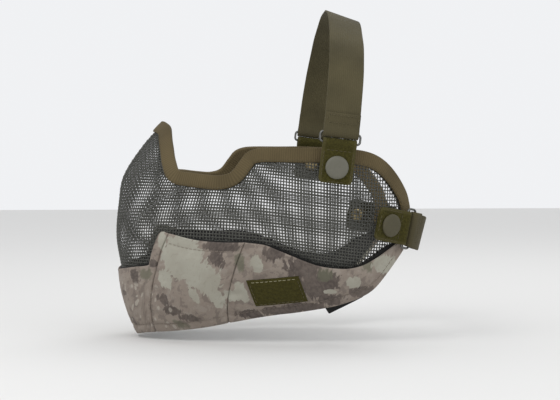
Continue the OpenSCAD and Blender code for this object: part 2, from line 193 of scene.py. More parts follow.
def mirrored(columns):
    c = np.array(columns, float)
    left = c[:0:-1].copy()
    left[..., 0] *= -1
    return np.concatenate([left, c])


def length_of(p):
    return np.concatenate([[0], np.cumsum(np.linalg.norm(np.diff(p, axis=0), axis=1))])


def sampled(q, s, v):
    """Rows of v, known at s, worked out at q."""
    return np.stack([np.interp(q, s, column) for column in v.T], -1)


def resample(p, step):
    """A polyline at even steps."""
    s = length_of(p)
    return sampled(np.linspace(0, s[-1], max(2, int(round(s[-1] / step)) + 1)), s, p)


def ease(x):
    x = np.clip(x, 0, 1)
    return x * x * (3 - 2 * x)


def waves(x, y, size, seed):
    """Smooth repeatable unevenness between about -1 and 1, over lengths of about size."""
    r = np.random.default_rng(seed)
    total = np.zeros(np.broadcast(x, y).shape)
    for _ in range(7):
        t, ph = r.uniform(0, 2 * np.pi, 2)
        k = 2 * np.pi / (size * r.uniform(0.7, 1.7))
        total = total + np.sin(k * (x * np.cos(t) + y * np.sin(t)) + ph)
    return total / 3.5


# ---------------------------------------------------------------- meshes

def add_mesh(name, verts, quads, material, uv=None, fields=None, tris=None):
    """A smooth-shaded mesh from points in millimetres."""
    verts = np.asarray(verts, float)
    quads = np.asarray(quads, int).reshape(-1, 4)
    tris = np.zeros((0, 3), int) if tris is None else np.asarray(tris, int).reshape(-1, 3)
    me = bpy.data.meshes.new(name)
    me.vertices.add(len(verts))
    me.vertices.foreach_set("co", (verts * MM).astype(np.float32).ravel())
    loops = np.concatenate([quads.ravel(), tris.ravel()])
    starts = np.concatenate([np.arange(len(quads)) * 4, len(quads) * 4 + np.arange(len(tris)) * 3])
    me.loops.add(len(loops))
    me.loops.foreach_set("vertex_index", loops.astype(np.int32))
    me.polygons.add(len(starts))
    me.polygons.foreach_set("loop_start", starts.astype(np.int32))
    me.polygons.foreach_set("use_smooth", np.ones(len(starts), bool))
    if uv is not None:
        layer = me.uv_layers.new(name="cloth")
        layer.data.foreach_set("uv", (np.asarray(uv, float) * MM)[loops].astype(np.float32).ravel())
    for key, value in (fields or {}).items():
        me.attributes.new(key, "FLOAT", "POINT").data.foreach_set(
            "value", np.asarray(value, np.float32).ravel())
    me.update(calc_edges=True)
    me.validate()
    me.materials.append(material)
    ob = bpy.data.objects.new(name, me)
    bpy.context.scene.collection.objects.link(ob)
    return ob


def wall_faces(m, k, hoop=False, round_section=True):
    """Quads between m rows of k points. A hoop's last row meets its first."""
    i = np.arange(m if hoop else m - 1)[:, None]
    j = np.arange(k if round_section else k - 1)[None]
    i, i2, j2 = i * k, (i + 1) % m * k, (j + 1) % k
    return np.stack([i + j, i + j2, i2 + j2, i2 + j], -1).reshape(-1, 4)


def ring_faces(m, k):
    """Quads of a closed-section sweep of m rings with k points, and its end caps."""
    h = np.arange(k // 2 - 1)
    cap = np.stack([h, k - 1 - h, k - 2 - h, h + 1], -1)
    return np.concatenate([wall_faces(m, k), cap, cap[:, ::-1] + (m - 1) * k])


def volume_in(verts, faces):
    """Six times the volume behind some faces, below zero where they face inwards."""
    p = verts[faces]
    return sum(np.einsum("ij,ij->i", p[:, 0], np.cross(p[:, k], p[:, k + 1])).sum()
               for k in range(1, faces.shape[1] - 1))


def outward_faces(verts, quads):
    """The same quads, turned so that they face out of the solid."""
    return quads if volume_in(verts, quads) > 0 else quads[:, ::-1]


def both_skins(outer, inner=None):
    """Values over a sheet's outer skin and back along its inner one."""
    return np.concatenate([outer, (outer if inner is None else inner)[:, ::-1]], axis=1)


def tapered(thick, n, share):
    """A thickness for n points that thins towards both ends by the shares listed."""
    from_end = np.minimum(np.arange(n), np.arange(n)[::-1])
    return thick * np.array(share)[np.minimum(from_end, len(share) - 1)]


def sweep(name, rings, material, uv=None, fields=None):
    """A solid through rings of points, shape (rings, points, 3)."""
    m, k = rings.shape[:2]
    verts = rings.reshape(-1, 3)
    quads = outward_faces(verts, ring_faces(m, k))
    flat = lambda v: None if v is None else v.reshape(m * k, -1)
    return add_mesh(name, verts, quads, material, flat(uv),
                    {n: v.reshape(-1) for n, v in (fields or {}).items()})


def ride_on(ob, body, slot, *nodes):
    """Fixes a piece to a body and hides the CAD nodes it stands for. Its slot is not used."""
    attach(ob, body)
    if nodes:
        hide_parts(*nodes)


class Heap:
    """Many small solids gathered into one mesh."""

    def __init__(self):
        self.verts, self.quads, self.uv, self.count = [], [], [], 0

    def add(self, rings, uv=None):
        m, k = rings.shape[:2]
        v = rings.reshape(-1, 3)
        self.quads.append(outward_faces(v, ring_faces(m, k)) + self.count)
        self.verts.append(v)
        self.uv.append(np.zeros((m * k, 2)) if uv is None else uv.reshape(-1, 2))
        self.count += m * k

    def mesh(self, name, material):
        return add_mesh(name, np.concatenate(self.verts), np.concatenate(self.quads), material,
                        np.concatenate(self.uv))


def tube(points, normals, half_w, half_t, k=6):
    """Rings of a tube with an oval section, wide across the normals."""
    t = unit(np.gradient(points, axis=0))
    n = unit(normals - np.einsum("ij,ij->i", normals, t)[:, None] * t)
    b = np.cross(t, n)
    a = 2 * np.pi * (np.arange(k) + 0.5) / k
    hw = np.broadcast_to(np.asarray(half_w, float), len(points))[:, None, None]
    ht = np.broadcast_to(np.asarray(half_t, float), len(points))[:, None, None]
    return (points[:, None] + hw * np.cos(a)[None, :, None] * b[:, None]
            + ht * np.sin(a)[None, :, None] * n[:, None])


def stitch_line(heap, points, normals, length=2.1, gap=0.9, r=0.19, lift=0.08):
    """Thread stitches along a line on a surface, each dipping into the cloth at its ends."""
    s = length_of(points)
    n = int((s[-1] - gap) // (length + gap))
    start = (s[-1] - n * (length + gap) + gap) / 2
    shape = np.array([0, 0.08, 0.3, 0.5, 0.7, 0.92, 1])
    rise = np.array([-1.3, -0.2, 0.75, 1, 0.75, -0.2, -1.3])
    for i in range(n):
        q = start + i * (length + gap) + shape * length
        p, m = sampled(q, s, points), unit(sampled(q, s, normals))
        heap.add(tube(p + (rise * r + lift)[:, None] * m, m, r * (0.72 + 0.28 * (rise > 0)), r))


# ---------------------------------------------------------------- woven wire mesh

PITCH = 2.15


def drape():
    """Crossing points of a woven mesh laid on the shell: angle and height, shape (columns, rows, 2).

    Round the nose each cell keeps four sides of one pitch and shears to follow the form, as
    woven wire does. Over the cheek and ear the columns stand upright. Column 0 is the nose
    line, and the middle row runs round the cheek and drops to the ear.
    """
    up, down, across = 31, 28, 116

    def walk(start, step, n):
        line = [np.array(start, float)]
        for _ in range(n):
            q, t = line[-1], 1.0
            here = base(*q)
            for _ in range(12):
                nxt = step(q, t)
                t *= PITCH / max(np.linalg.norm(base(*nxt) - here), 1e-6)
            line.append(step(q, t))
        return np.array(line)

    drop = lambda a: -31 - 13 * ease((a - 28) / 100)
    row = walk((0.0, float(drop(0.0))),
               lambda q, t: np.array([q[0] + 1.2 * t, float(drop(q[0] + 1.2 * t))]), across)
    rise = walk(row[0], lambda q, t: q + np.array([0, 2.1 * t]), up)
    fall = walk(row[0], lambda q, t: q - np.array([0, 2.1 * t]), down)

    def fill(column):
        n = len(column)
        net = np.full((across + 1, n, 2), np.nan)
        net[:, 0], net[0, :] = row, column
        for s in range(2, across + n):
            i = np.arange(max(1, s - n + 1), min(across, s - 1) + 1)
            j = s - i
            qa, qb, qc = net[i - 1, j], net[i, j - 1], net[i - 1, j - 1]
            pa, pb = base(qa[:, 0], qa[:, 1]), base(qb[:, 0], qb[:, 1])
            q = qa + qb - qc
            for _ in range(8):
                e = 1e-3
                x = base(q[:, 0], q[:, 1])
                xa = (base(q[:, 0] + e, q[:, 1]) - x) / e
                xz = (base(q[:, 0], q[:, 1] + e) - x) / e
                fa = ((x - pa) ** 2).sum(1) - PITCH**2
                fb = ((x - pb) ** 2).sum(1) - PITCH**2
                a11, a12 = 2 * ((x - pa) * xa).sum(1), 2 * ((x - pa) * xz).sum(1)
                a21, a22 = 2 * ((x - pb) * xa).sum(1), 2 * ((x - pb) * xz).sum(1)
                det = a11 * a22 - a12 * a21
                det = np.where(np.abs(det) < 1e-3, 1e-3, det)
                step = np.stack([(fa * a22 - fb * a12) / det, (fb * a11 - fa * a21) / det], -1)
                q = q - np.clip(step, -1.5, 1.5)
            net[i, j] = q
        return net

    def upright(n, sign):
        """The same crossings on columns of constant angle, at even steps along each column."""
        z = row[:, 1:] + sign * np.arange(0, 2.6 * n, 0.5)
        p = base(row[:, :1], z)
        s = np.cumsum(np.linalg.norm(np.diff(p, axis=1), axis=2), axis=1)
        s = np.concatenate([np.zeros((len(row), 1)), s], axis=1)
        zz = np.stack([np.interp(np.arange(n) * PITCH, s[i], z[i]) for i in range(len(row))])
        return np.stack([np.broadcast_to(row[:, :1], zz.shape), zz], -1)

    share = ease((row[:, 0] - 14) / 62)[:, None, None]
    top = (1 - share) * fill(rise) + share * upright(up + 1, 1)
    bottom = (1 - share) * fill(fall) + share * upright(down + 1, -1)
    return np.concatenate([bottom[:, :0:-1], top], axis=1)


def inside(a, z, outline):
    """Whether places are inside a closed outline of [angle, height]."""
    x0, y0 = outline.T
    x1, y1 = np.roll(outline, -1, axis=0).T
    hit = np.zeros(a.shape, bool)
    for i in range(len(outline)):
        cross = (y0[i] > z) != (y1[i] > z)
        with np.errstate(divide="ignore", invalid="ignore"):
            x = x0[i] + (z - y0[i]) * (x1[i] - x0[i]) / (y1[i] - y0[i])
        hit ^= cross & (a < x)
    return hit


REAR_SNAP_AT = (116.4, -38)
REAR_SNAP = base(*REAR_SNAP_AT)
POST_HOLE_R = 2.1
mesh_lines = smooth(mirrored(MESH), 3)
outline = np.concatenate([mesh_lines[:, 0], mesh_lines[::-1, 1]])
net = drape()


def wires(net, along_rows, side):
    """Tubes of the wires of one direction on one side, woven over and under the others."""
    wide, thick, weave, cuts = 0.43, 0.28, 0.27, 4  # the wire's half widths, its rise, steps a cell
    flip = np.array([side, 1, 1])
    heap = Heap()
    columns, rows = net.shape[:2]
    for line in range(rows if along_rows else columns):
        q = net[:, line] if along_rows else net[line]
        number = np.arange(len(q))
        parity = np.where((number + line) % 2 == 0, 1.0, -1.0) * (1 if along_rows else -1)
        t = np.arange(0, len(q) - 1 + 1e-9, 1 / cuts)
        a, z = smooth(q, cuts).T
        d = weave * np.interp(t, number, parity)
        d = np.where(np.abs(d) < weave, weave * np.sin(np.pi / 2 * d / weave), d)
        keep = inside(a * side, z, outline)
        p, n = at(a, z, d) * flip, outward(a, z) * flip
        for place, axis in ((np.array([HALF_W, 0, 0]), np.array([1, 0, 0])),
                            (REAR_SNAP, outward(*REAR_SNAP_AT))):
            v, axis = p - place * flip, axis * flip
            off = np.linalg.norm(v - (v @ axis)[:, None] * axis, axis=1)
            keep &= off > POST_HOLE_R
        runs = np.flatnonzero(np.diff(np.concatenate([[0], keep.astype(int), [0]])))
        for start, end in runs.reshape(-1, 2):
            if end - start >= 3:
                heap.add(tube(p[start:end], n[start:end], wide, thick))
    return heap


# ---------------------------------------------------------------- materials

def link(nt, socket, value):
    if isinstance(value, bpy.types.NodeSocket):
        nt.links.new(value, socket)
    elif isinstance(value, (tuple, list)) and len(value) == 3 and socket.type == "RGBA":
        socket.default_value = (*value, 1)
    else:
        socket.default_value = value


class Look:
    """A material's node tree, with short ways to add nodes."""

    def __init__(self, name):
        self.mat = bpy.data.materials.new(name)
        self.mat.use_nodes = True
        self.nt = self.mat.node_tree
        self.out = self.nt.nodes["Principled BSDF"]

    def add(self, kind, inputs=None, output=0, **props):
        n = self.nt.nodes.new("ShaderNode" + kind)
        for k, v in props.items():
            setattr(n, k, v)
        for k, v in (inputs or {}).items():
            link(self.nt, n.inputs[k], v)
        return n.outputs[output]

    def set(self, **values):
        for k, v in values.items():
            link(self.nt, self.out.inputs[k.replace("_", " ")], v)

    def math(self, op, a, b=0.0, c=0.0):
        return self.add("Math", {0: a, 1: b, 2: c}, operation=op)

    def product(self, *values):
        out = values[0]
        for v in values[1:]:
            out = self.math("MULTIPLY", out, v)
        return out

    def shifted(self, at, by):
        return self.add("VectorMath", {0: at, 1: by}, operation="ADD")

    def scaled(self, at, *factors):
        return self.add("VectorMath", {0: at, 1: factors}, operation="MULTIPLY")

    def cloth(self, sx=1.0, sy=1.0):
        """Cloth coordinates in millimetres, scaled."""
        return self.scaled(self.add("UVMap", uv_map="cloth"), sx / MM, sy / MM, 0)

    def place(self, s=1.0):
        """Object coordinates in millimetres, scaled."""
        return self.scaled(self.add("TexCoord", output=3), *(s / MM,) * 3)

    def noise(self, at, scale=1.0, detail=2.0, rough=0.5, distort=0.0):
        return self.add("TexNoise", {"Vector": at, "Scale": scale, "Detail": detail,
                                     "Roughness": rough, "Distortion": distort})

    def cells(self, at, output=0):
        return self.add("TexVoronoi", {"Vector": at, "Scale": 1.0}, output=output)

    def field(self, name):
        return self.add("Attribute", attribute_name=name, output=2)

    def remap(self, v, lo, hi, to_lo=0.0, to_hi=1.0, soft=False):
        return self.add("MapRange", {"Value": v, "From Min": lo, "From Max": hi,
                                     "To Min": to_lo, "To Max": to_hi},
                        interpolation_type="SMOOTHSTEP" if soft else "LINEAR")

    def mix(self, f, a, b):
        n = self.nt.nodes.new("ShaderNodeMix")
        n.data_type = "RGBA"
        for i, v in ((0, f), (6, a), (7, b)):
            link(self.nt, n.inputs[i], v)
        return n.outputs[2]

    def wave(self, at, axis, period):
        """0 to 1 along one axis of some coordinates, once each period."""
        part = self.add("SeparateXYZ", {0: at}, output=axis)
        v = self.math("SINE", self.product(part, 2 * math.pi / period))
        return self.math("MULTIPLY_ADD", v, 0.5, 0.5)

    def bump(self, height, distance, strength=1.0, normal=None):
        inputs = {"Height": height, "Distance": distance * MM, "Strength": strength}
        if normal is not None:
            inputs["Normal"] = normal
        return self.add("Bump", inputs)


def wire_look():
    k = Look("painted_wire")
    p = k.place()
    tone = k.noise(p, 0.09, 3)
    grain = k.noise(p, 2.2, 2)
    base_c = k.mix(tone, (0.050, 0.050, 0.042), (0.085, 0.085, 0.073))
    chip = k.remap(k.noise(p, 1.3, 4, 0.7), 0.66, 0.72)
    k.set(Base_Color=k.mix(chip, base_c, (0.16, 0.155, 0.14)),
          Metallic=k.remap(chip, 0, 1, 0.25, 0.85),
          Roughness=k.remap(grain, 0.3, 0.7, 0.36, 0.56),
          Normal=k.bump(grain, 0.05, 0.6))
    return k.mat


def webbing_look(name, dark, light, rib, warp, depth=0.12, cords=0.45):
    """Woven webbing or elastic: picks across it every `rib` mm and warp cords every `warp` mm."""
    k = Look(name)
    uv = k.cloth()
    wobble = k.noise(k.cloth(0.5, 0.5), 1.0, 2)
    bent = k.shifted(uv, k.product(wobble, 0.35))
    pick, cord = k.wave(bent, 0, rib), k.wave(bent, 1, warp)
    thread = k.product(k.math("MULTIPLY_ADD", pick, 0.7, 0.3),
                       k.math("MULTIPLY_ADD", cord, cords, 1 - cords))
    fuzz = k.noise(k.cloth(), 3.5, 3, 0.7)
    tone = k.noise(k.place(), 0.035, 3)
    c = k.mix(k.math("MULTIPLY_ADD", thread, 0.75, 0.1), dark, light)
    c = k.mix(k.remap(fuzz, 0.35, 0.75, 0, 0.35), c, tuple(v * 1.35 for v in light))
    c = k.mix(k.remap(tone, 0.35, 0.7, 0, 0.45), c, tuple(v * 0.72 for v in dark))
    height = k.math("ADD", thread, k.product(fuzz, 0.3))
    k.set(Base_Color=c, Roughness=k.remap(fuzz, 0.2, 0.8, 0.72, 0.95),
          Normal=k.bump(height, depth, 0.8), Sheen_Weight=0.04, Sheen_Roughness=0.5,
          Specular_IOR_Level=0.2)
    return k.mat


def camo_look():
    """Printed poplin. The fields say where each colour lies and the noise cuts its ragged edge."""
    k = Look("camo_print")
    uv = k.cloth()
    warp = k.add("TexNoise", {"Vector": k.cloth(0.11, 0.09), "Scale": 1.0, "Detail": 2.0}, output=1)
    q = k.shifted(uv, k.scaled(warp, 7, 7, 0))
    stretch = lambda x, y: k.scaled(q, x, y, 0)
    drips = k.noise(stretch(0.36, 0.10), 1.0, 2.5, 0.55)
    rag = k.noise(stretch(0.5, 0.36), 1.0, 1.5, 0.5)
    broad = k.noise(stretch(0.055, 0.05), 1.0, 2)
    mottle = k.noise(stretch(0.17, 0.15), 1.0, 3, 0.6)

    def mask(name, weight, edge):
        """Where a colour shows: its field, cut ragged by the noise."""
        v = k.math("ADD", k.field(name), k.product(k.math("SUBTRACT", drips, 0.5), weight))
        v = k.math("ADD", v, k.product(k.math("SUBTRACT", rag, 0.5), weight * 0.45))
        return k.remap(v, 0.5 - edge, 0.5 + edge, soft=True)

    ground = k.mix(k.remap(broad, 0.35, 0.65), (0.235, 0.192, 0.160), (0.285, 0.240, 0.200))
    brown = k.mix(k.remap(rag, 0.4, 0.6), (0.070, 0.055, 0.048), (0.108, 0.085, 0.074))
    c = k.mix(k.remap(mottle, 0.53, 0.60, 0, 0.62, soft=True), ground, (0.150, 0.122, 0.104))
    c = k.mix(k.remap(mottle, 0.44, 0.39, 0, 0.4, soft=True), c, (0.330, 0.295, 0.255))
    c = k.mix(k.product(mask("plum", 0.95, 0.05), k.remap(broad, 0.3, 0.6, 0.72, 1.0)), c, brown)
    c = k.mix(k.product(mask("moss", 1.0, 0.12), 0.75), c, (0.122, 0.122, 0.082))
    pale = k.mix(k.remap(broad, 0.42, 0.6), (0.375, 0.362, 0.302), (0.335, 0.318, 0.262))
    pale = k.mix(k.remap(rag, 0.55, 0.75, 0, 0.5), pale, (0.285, 0.262, 0.215))
    c = k.mix(mask("sage", 0.62, 0.03), c, pale)
    cell, colour = (k.cells(stretch(0.24, 0.20), output) for output in (0, 1))
    chosen = k.add("SeparateColor", {0: colour})
    fleck = k.product(k.remap(cell, 0.36, 0.29), k.remap(chosen, 0.50, 0.52), k.field("fleck"), 0.8)
    c = k.mix(fleck, c, (0.40, 0.365, 0.31))
    fine = k.product(k.wave(uv, 0, 0.42), k.wave(uv, 1, 0.42))
    lint = k.noise(k.cloth(), 2.8, 3, 0.7)
    c = k.mix(k.remap(lint, 0.3, 0.7, 0.0, 0.16), c, (0.10, 0.09, 0.08))
    c = k.mix(k.product(fine, 0.10), c, (0.5, 0.47, 0.42))
    creases = k.noise(k.place(), 0.10, 3, 0.6)
    n = k.bump(creases, 0.9, 0.35)
    n = k.bump(k.math("ADD", fine, k.product(lint, 0.8)), 0.09, 0.7, n)
    k.set(Base_Color=c, Roughness=k.remap(lint, 0.2, 0.8, 0.78, 0.97), Normal=n,
          Sheen_Weight=0.03, Specular_IOR_Level=0.2)
    return k.mat


def pile_look():
    """Hook-and-loop tape: a matted loop face between two smoother woven borders."""
    k = Look("loop_pile")
    uv = k.cloth()
    clump = k.noise(k.cloth(0.55, 0.55), 1.0, 3, 0.65)
    loops = k.cells(k.cloth(1.7, 1.7))
    hair = k.noise(k.cloth(), 2.3, 4, 0.75, 1.2)
    c = k.mix(k.remap(clump, 0.3, 0.7), (0.030, 0.026, 0.004), (0.064, 0.056, 0.011))
    c = k.mix(k.remap(hair, 0.52, 0.72, 0, 0.65), c, (0.102, 0.092, 0.027))
    c = k.mix(k.remap(loops, 0.15, 0.6, 0.35, 0), c, (0.018, 0.016, 0.005))
    woven = k.mix(k.wave(uv, 0, 0.8), (0.049, 0.042, 0.012), (0.081, 0.071, 0.025))
    c = k.mix(k.field("border"), c, woven)
    height = k.math("ADD", hair, k.product(clump, 1.2))
    k.set(Base_Color=c, Roughness=0.95, Sheen_Weight=0.03, Sheen_Roughness=0.45,
          Specular_IOR_Level=0.2, Normal=k.bump(height, 0.5, 0.8))
    return k.mat


def metal_look(name, dark, light, metallic, rough, worn=None):
    k = Look(name)
    p = k.place()
    tone, grain = k.noise(p, 0.5, 3), k.noise(p, 3.0, 3, 0.7)
    c = k.mix(tone, dark, light)
    if worn:
        c = k.mix(k.remap(k.noise(p, 0.9, 4, 0.7), 0.62, 0.70, 0, 0.7), c, worn)
    k.set(Base_Color=c, Metallic=metallic, Normal=k.bump(grain, 0.04, 0.5),
          Roughness=k.remap(grain, 0.25, 0.75, rough - 0.08, rough + 0.1))
    return k.mat


def knit_look():
    """Dark tricot lining over foam."""
    k = Look("lining_knit")
    uv = k.cloth()
    rows = k.product(k.wave(uv, 0, 1.1), k.wave(uv, 1, 0.8))
    lint = k.noise(k.cloth(), 1.8, 4, 0.7)
    c = k.mix(rows, (0.018, 0.018, 0.017), (0.046, 0.045, 0.041))
    c = k.mix(k.remap(lint, 0.5, 0.75, 0, 0.4), c, (0.085, 0.083, 0.076))
    k.set(Base_Color=c, Roughness=0.93, Sheen_Weight=0.25, Specular_IOR_Level=0.25,
          Normal=k.bump(k.math("ADD", rows, lint), 0.16, 0.8))
    return k.mat


def foam_look():
    k = Look("foam_cells")
    cells = k.cells(k.place(1.2))
    c = k.mix(k.remap(cells, 0.1, 0.6), (0.03, 0.03, 0.03), (0.075, 0.075, 0.073))
    k.set(Base_Color=c, Roughness=0.97, Normal=k.bump(cells, 0.35, 0.9))
    return k.mat


def thread_look(name, dark, light):
    k = Look(name)
    twist = k.noise(k.place(), 1.4, 3, 0.6)
    k.set(Base_Color=k.mix(twist, dark, light), Roughness=0.8, Specular_IOR_Level=0.35,
          Normal=k.bump(k.noise(k.place(), 4.0, 2), 0.05, 0.6))
    return k.mat


wire_m = wire_look()
binding_m = webbing_look("olive_binding", (0.062, 0.046, 0.021), (0.140, 0.106, 0.052), 1.5, 0.75,
                         0.14, 0.2)
elastic_m = webbing_look("olive_elastic", (0.046, 0.039, 0.019), (0.100, 0.085, 0.043), 0.62, 1.3)
black_m = webbing_look("black_tape", (0.008, 0.008, 0.008), (0.024, 0.024, 0.023), 0.8, 1.0)
camo_m = camo_look()
pile_m = pile_look()
lining_m = knit_look()
foam_m = foam_look()
cap_m = metal_look("cap_paint", (0.100, 0.096, 0.072), (0.122, 0.117, 0.088), 0.0, 0.50,
                   (0.15, 0.145, 0.11))
brown_cap_m = metal_look("cap_paint_brown", (0.050, 0.043, 0.018), (0.062, 0.053, 0.023), 0.0, 0.55,
                         (0.10, 0.088, 0.05))
brass_m = metal_look("snap_brass", (0.20, 0.16, 0.085), (0.30, 0.24, 0.13), 0.9, 0.38)
ring_m = metal_look("ring_wire", (0.10, 0.10, 0.095), (0.20, 0.20, 0.19), 1.0, 0.34)
olive_thread_m = thread_look("olive_thread", (0.075, 0.062, 0.032), (0.125, 0.105, 0.058))
camo_thread_m = thread_look("camo_thread", (0.17, 0.14, 0.11), (0.26, 0.22, 0.18))
# Paler copy of the olive thread: a painted highlight on the loop panel's top-edge stitches, where light
# falls on that edge.
painted_highlight_thread_m = thread_look("pale_thread", (0.24, 0.22, 0.12), (0.40, 0.37, 0.24))
black_thread_m = thread_look("black_thread", (0.008, 0.008, 0.008), (0.022, 0.022, 0.02))


# ---------------------------------------------------------------- woven shell pieces

for side, tag in SIDES:
    for along_rows, kind in ((True, "weft"), (False, "warp")):
        q = net if along_rows or side > 0 else net[1:]
        ride_on(wires(q, along_rows, side).mesh(f"mesh_{kind}_{tag}", wire_m), "shell", "steel_mesh",
                "mesh_shell")


# ---------------------------------------------------------------- edges

def inset_grid(edge, reach_in, steps):
    """Places inward from an edge line: shape (steps + 1, points, 2), square to the edge."""
    e, out, step, h = edge, [edge], reach_in / steps, 0.5
    way = unit(np.gradient(middle_at(e), axis=0))
    for _ in range(steps):
        side = unit(np.cross(way, facing(e)))
        per_degree, per_mm = ((middle_at(e + v) - middle_at(e - v)) / (2 * h)
                              for v in (np.array([h, 0]), np.array([0, h])))
        rest = side - side[:, 2:] * per_mm
        turned = (rest * per_degree).sum(1) / (per_degree * per_degree).sum(1)
        e = e + step * np.stack([turned, side[:, 2]], -1)
        out.append(e)
    return np.array(out)


def soften(v, times):
    """Averages along a line, with its ends held."""
    for _ in range(times):
        v = np.concatenate([v[:1], 0.25 * v[:-2] + 0.5 * v[1:-1] + 0.25 * v[2:], v[-1:]])
    return v


def edge_line(points, step):
    """An edge as [angle, height] at even steps of real length."""
    fine = smooth(points, 24)
    s = length_of(middle_at(fine))
    q = np.linspace(0, s[-1], int(round(s[-1] / step)) + 1)
    return sampled(q, s, fine), q


TURN = np.radians([60, 30, 0, -30, -60])


def folded_edge(name, points, reach_in, ply, step, material, crown, rib, rib_depth):
    """Tape folded round an edge of the mesh, with its stitch lines, one a face, and its border."""
    edge, s = edge_line(points, step)
    row = 0.9
    steps = max(4, int(reach_in / row))
    grid = inset_grid(edge, reach_in, steps)
    for j in range(1, steps + 1):
        grid[j] = soften(grid[j], int(2.2 * j * row / step))
    w = np.linspace(0, reach_in, steps + 1)
    g = MESH_T / 2 + PLY_GAP
    ripple = rib_depth * np.sin(2 * np.pi * s / rib)
    slack = 0.10 * waves(s, 0 * s, 26, 4)
    bulge = crown * (1 - ((w - reach_in * 0.45) / (reach_in * 0.62)) ** 2)
    rows = [grid[steps], grid[steps] * 0.72 + grid[steps - 1] * 0.28, *grid[steps - 1::-1]]
    height = [g + 0.35 * ply + 0 * s, g + ply * 0.70 + ripple * 0.5]
    height += [g + ply * 0.72 + b + ripple + slack for b in bulge[steps - 1::-1]]
    way, n = unit(np.gradient(middle_at(edge), axis=0)), facing(edge)
    into = unit(np.cross(way, n))

    def skin(heights, fold, top):
        """Rows of points from the outer border round the fold to the inner border."""
        face = lambda sign: [on_shell(q, sign * h) for q, h in zip(rows, heights)]
        bend = [middle_at(edge) - into * fold * np.cos(a) + n * (top * np.sin(a)) for a in TURN]
        return face(1) + bend + face(-1)[::-1]
    outer = skin(height, (ply + PLY_GAP + ripple)[:, None], g + ply + 0.15)
    inner = skin([g + 0.05] * len(rows), 0.5 * PLY_GAP, g)
    across = length_of(np.array([o[len(s) // 2] for o in outer]))
    across = np.concatenate([across, across[::-1]])
    uv = np.stack(np.broadcast_arrays(s[:, None], across[None, :]), -1)
    ob = sweep(name, np.stack(outer + inner[::-1], axis=1), material, uv)
    sewn_row = max(1, steps - 1)
    d = g + ply * 0.72 + bulge[sewn_row]
    lines = [(on_shell(grid[sewn_row], sign * d), sign * facing(grid[sewn_row])) for sign in (1, -1)]
    return ob, lines, grid[steps]


binding, binding_lines, _ = folded_edge(
    "edge_binding", mirrored(MESH)[:, 0], BIND_W - BIND_PLY - PLY_GAP, BIND_PLY, 0.36, binding_m,
    0.32, 1.5, 0.05)
ride_on(binding, "shell", "olive_webbing", "edge_webbing")
lower, _, lower_border = folded_edge(
    "lower_binding", mirrored(MESH)[::-1, 1], TAPE_W - TAPE_PLY - PLY_GAP, TAPE_PLY, 0.8, black_m,
    0.05, 1.6, 0.02)
ride_on(lower, "shell", "black_tape", "lower_tape")
heap = Heap()
for p, n in binding_lines:
    stitch_line(heap, p, n, 2.0, 1.0, 0.16)
ride_on(heap.mesh("binding_stitches", olive_thread_m), "shell", "olive_webbing")

# ---------------------------------------------------------------- skirt

CLOTH_T = 0.7
OUTER_D = FABRIC_OUT - CLOTH_T / 2
HEM_LINE = 7.0

# Print: places as (angle, height, half width, half height), the last two in millimetres
SAGE = [(30, -60, 15, 15), (34, -72, 13, 11), (23.5, -74, 5, 7), (36, -84, 5, 9), (30, -84, 3, 5),
        (24.5, -50, 3, 7), (41, -84, 5, 4), (53.5, -63, 4, 6), (45, -82, 4, 7), (118, -64, 10, 6),
        (101, -75, 5, 4), (88, -81, 5, 1.6)]
PLUM = [(42, -52, 13, 4), (40, -60, 5, 5), (14, -74, 4, 5), (21, -88, 4, 4), (22, -95, 6, 3),
        (25, -99.5, 7, 3), (7, -86, 4, 2), (6.5, -105, 3, 3), (21, -64, 3, 3), (61, -56, 6, 5),
        (74, -66, 11, 8), (73, -92, 16, 3), (107, -82, 9, 4), (87, -77, 4, 2), (79, -78, 8, 9),
        (84, -76, 10, 9), (88, -87, 10, 4), (45, -97, 9, 3), (58, -95, 13, 3)]
MOSS = [(18, -72, 5, 4), (47.5, -62, 3, 7), (21, -104.5, 4, 3), (65.5, -51.5, 4, 3), (85, -70, 5, 4),
        (107.5, -65, 4, 4), (116, -62, 5, 2)]
draw = np.random.default_rng(11)


def scattered(count, w, h):
    """Blobs for the wearer's right side."""
    out = []
    for _ in range(count):
        a = draw.uniform(6, 128)
        top, low = (-66 if a < 22 else -50 if a < 60 else -64 if a < 110 else -54), -104 + 0.14 * a
        out.append((-a, draw.uniform(low, top), draw.uniform(*w), draw.uniform(*h)))
    return out


SAGE += scattered(17, (4, 13), (4, 11))
PLUM += scattered(16, (4, 13), (3, 7))
MOSS += scattered(9, (3, 5), (3, 5))


def print_field(blobs, a, z):
    """Falls from 1 in the middle of a blob to 0.5 at its edge and 0 beyond."""
    v = np.zeros(a.shape)
    for a0, z0, w, h in blobs:
        scale = np.linalg.norm(base(a0 + 0.5, z0) - base(a0 - 0.5, z0))
        r = np.sqrt(((a - a0) * scale / w) ** 2 + ((z - z0) / h) ** 2)
        v = np.maximum(v, 1 - 0.5 * r)
    return v


def print_fields(a, z):
    """Each colour's field, and where the chin's pale flecks lie."""
    fields = {k: print_field(v, a, z) for k, v in (("sage", SAGE), ("plum", PLUM), ("moss", MOSS))}
    return {**fields, "fleck": ease((26 - np.abs(a)) / 6) * ease((-76 - z) / 5)}


def fine_columns(columns, step):
    """A panel's columns at even steps, closer at its side edges, and their distance along it."""
    c = smooth(columns, 24)
    s = length_of(middle_at(c.mean(axis=1)))
    near = np.array([0, 0.12, 0.35, 0.7, 1.1, 1.6])
    far = s[-1] - near[::-1]
    n = max(2, int((far[0] - near[-1]) / step))
    q = np.concatenate([near, np.linspace(near[-1], far[0], n + 1)[1:-1], far])
    return sampled(q, s, c.reshape(len(c), 4)).reshape(-1, 2, 2), q


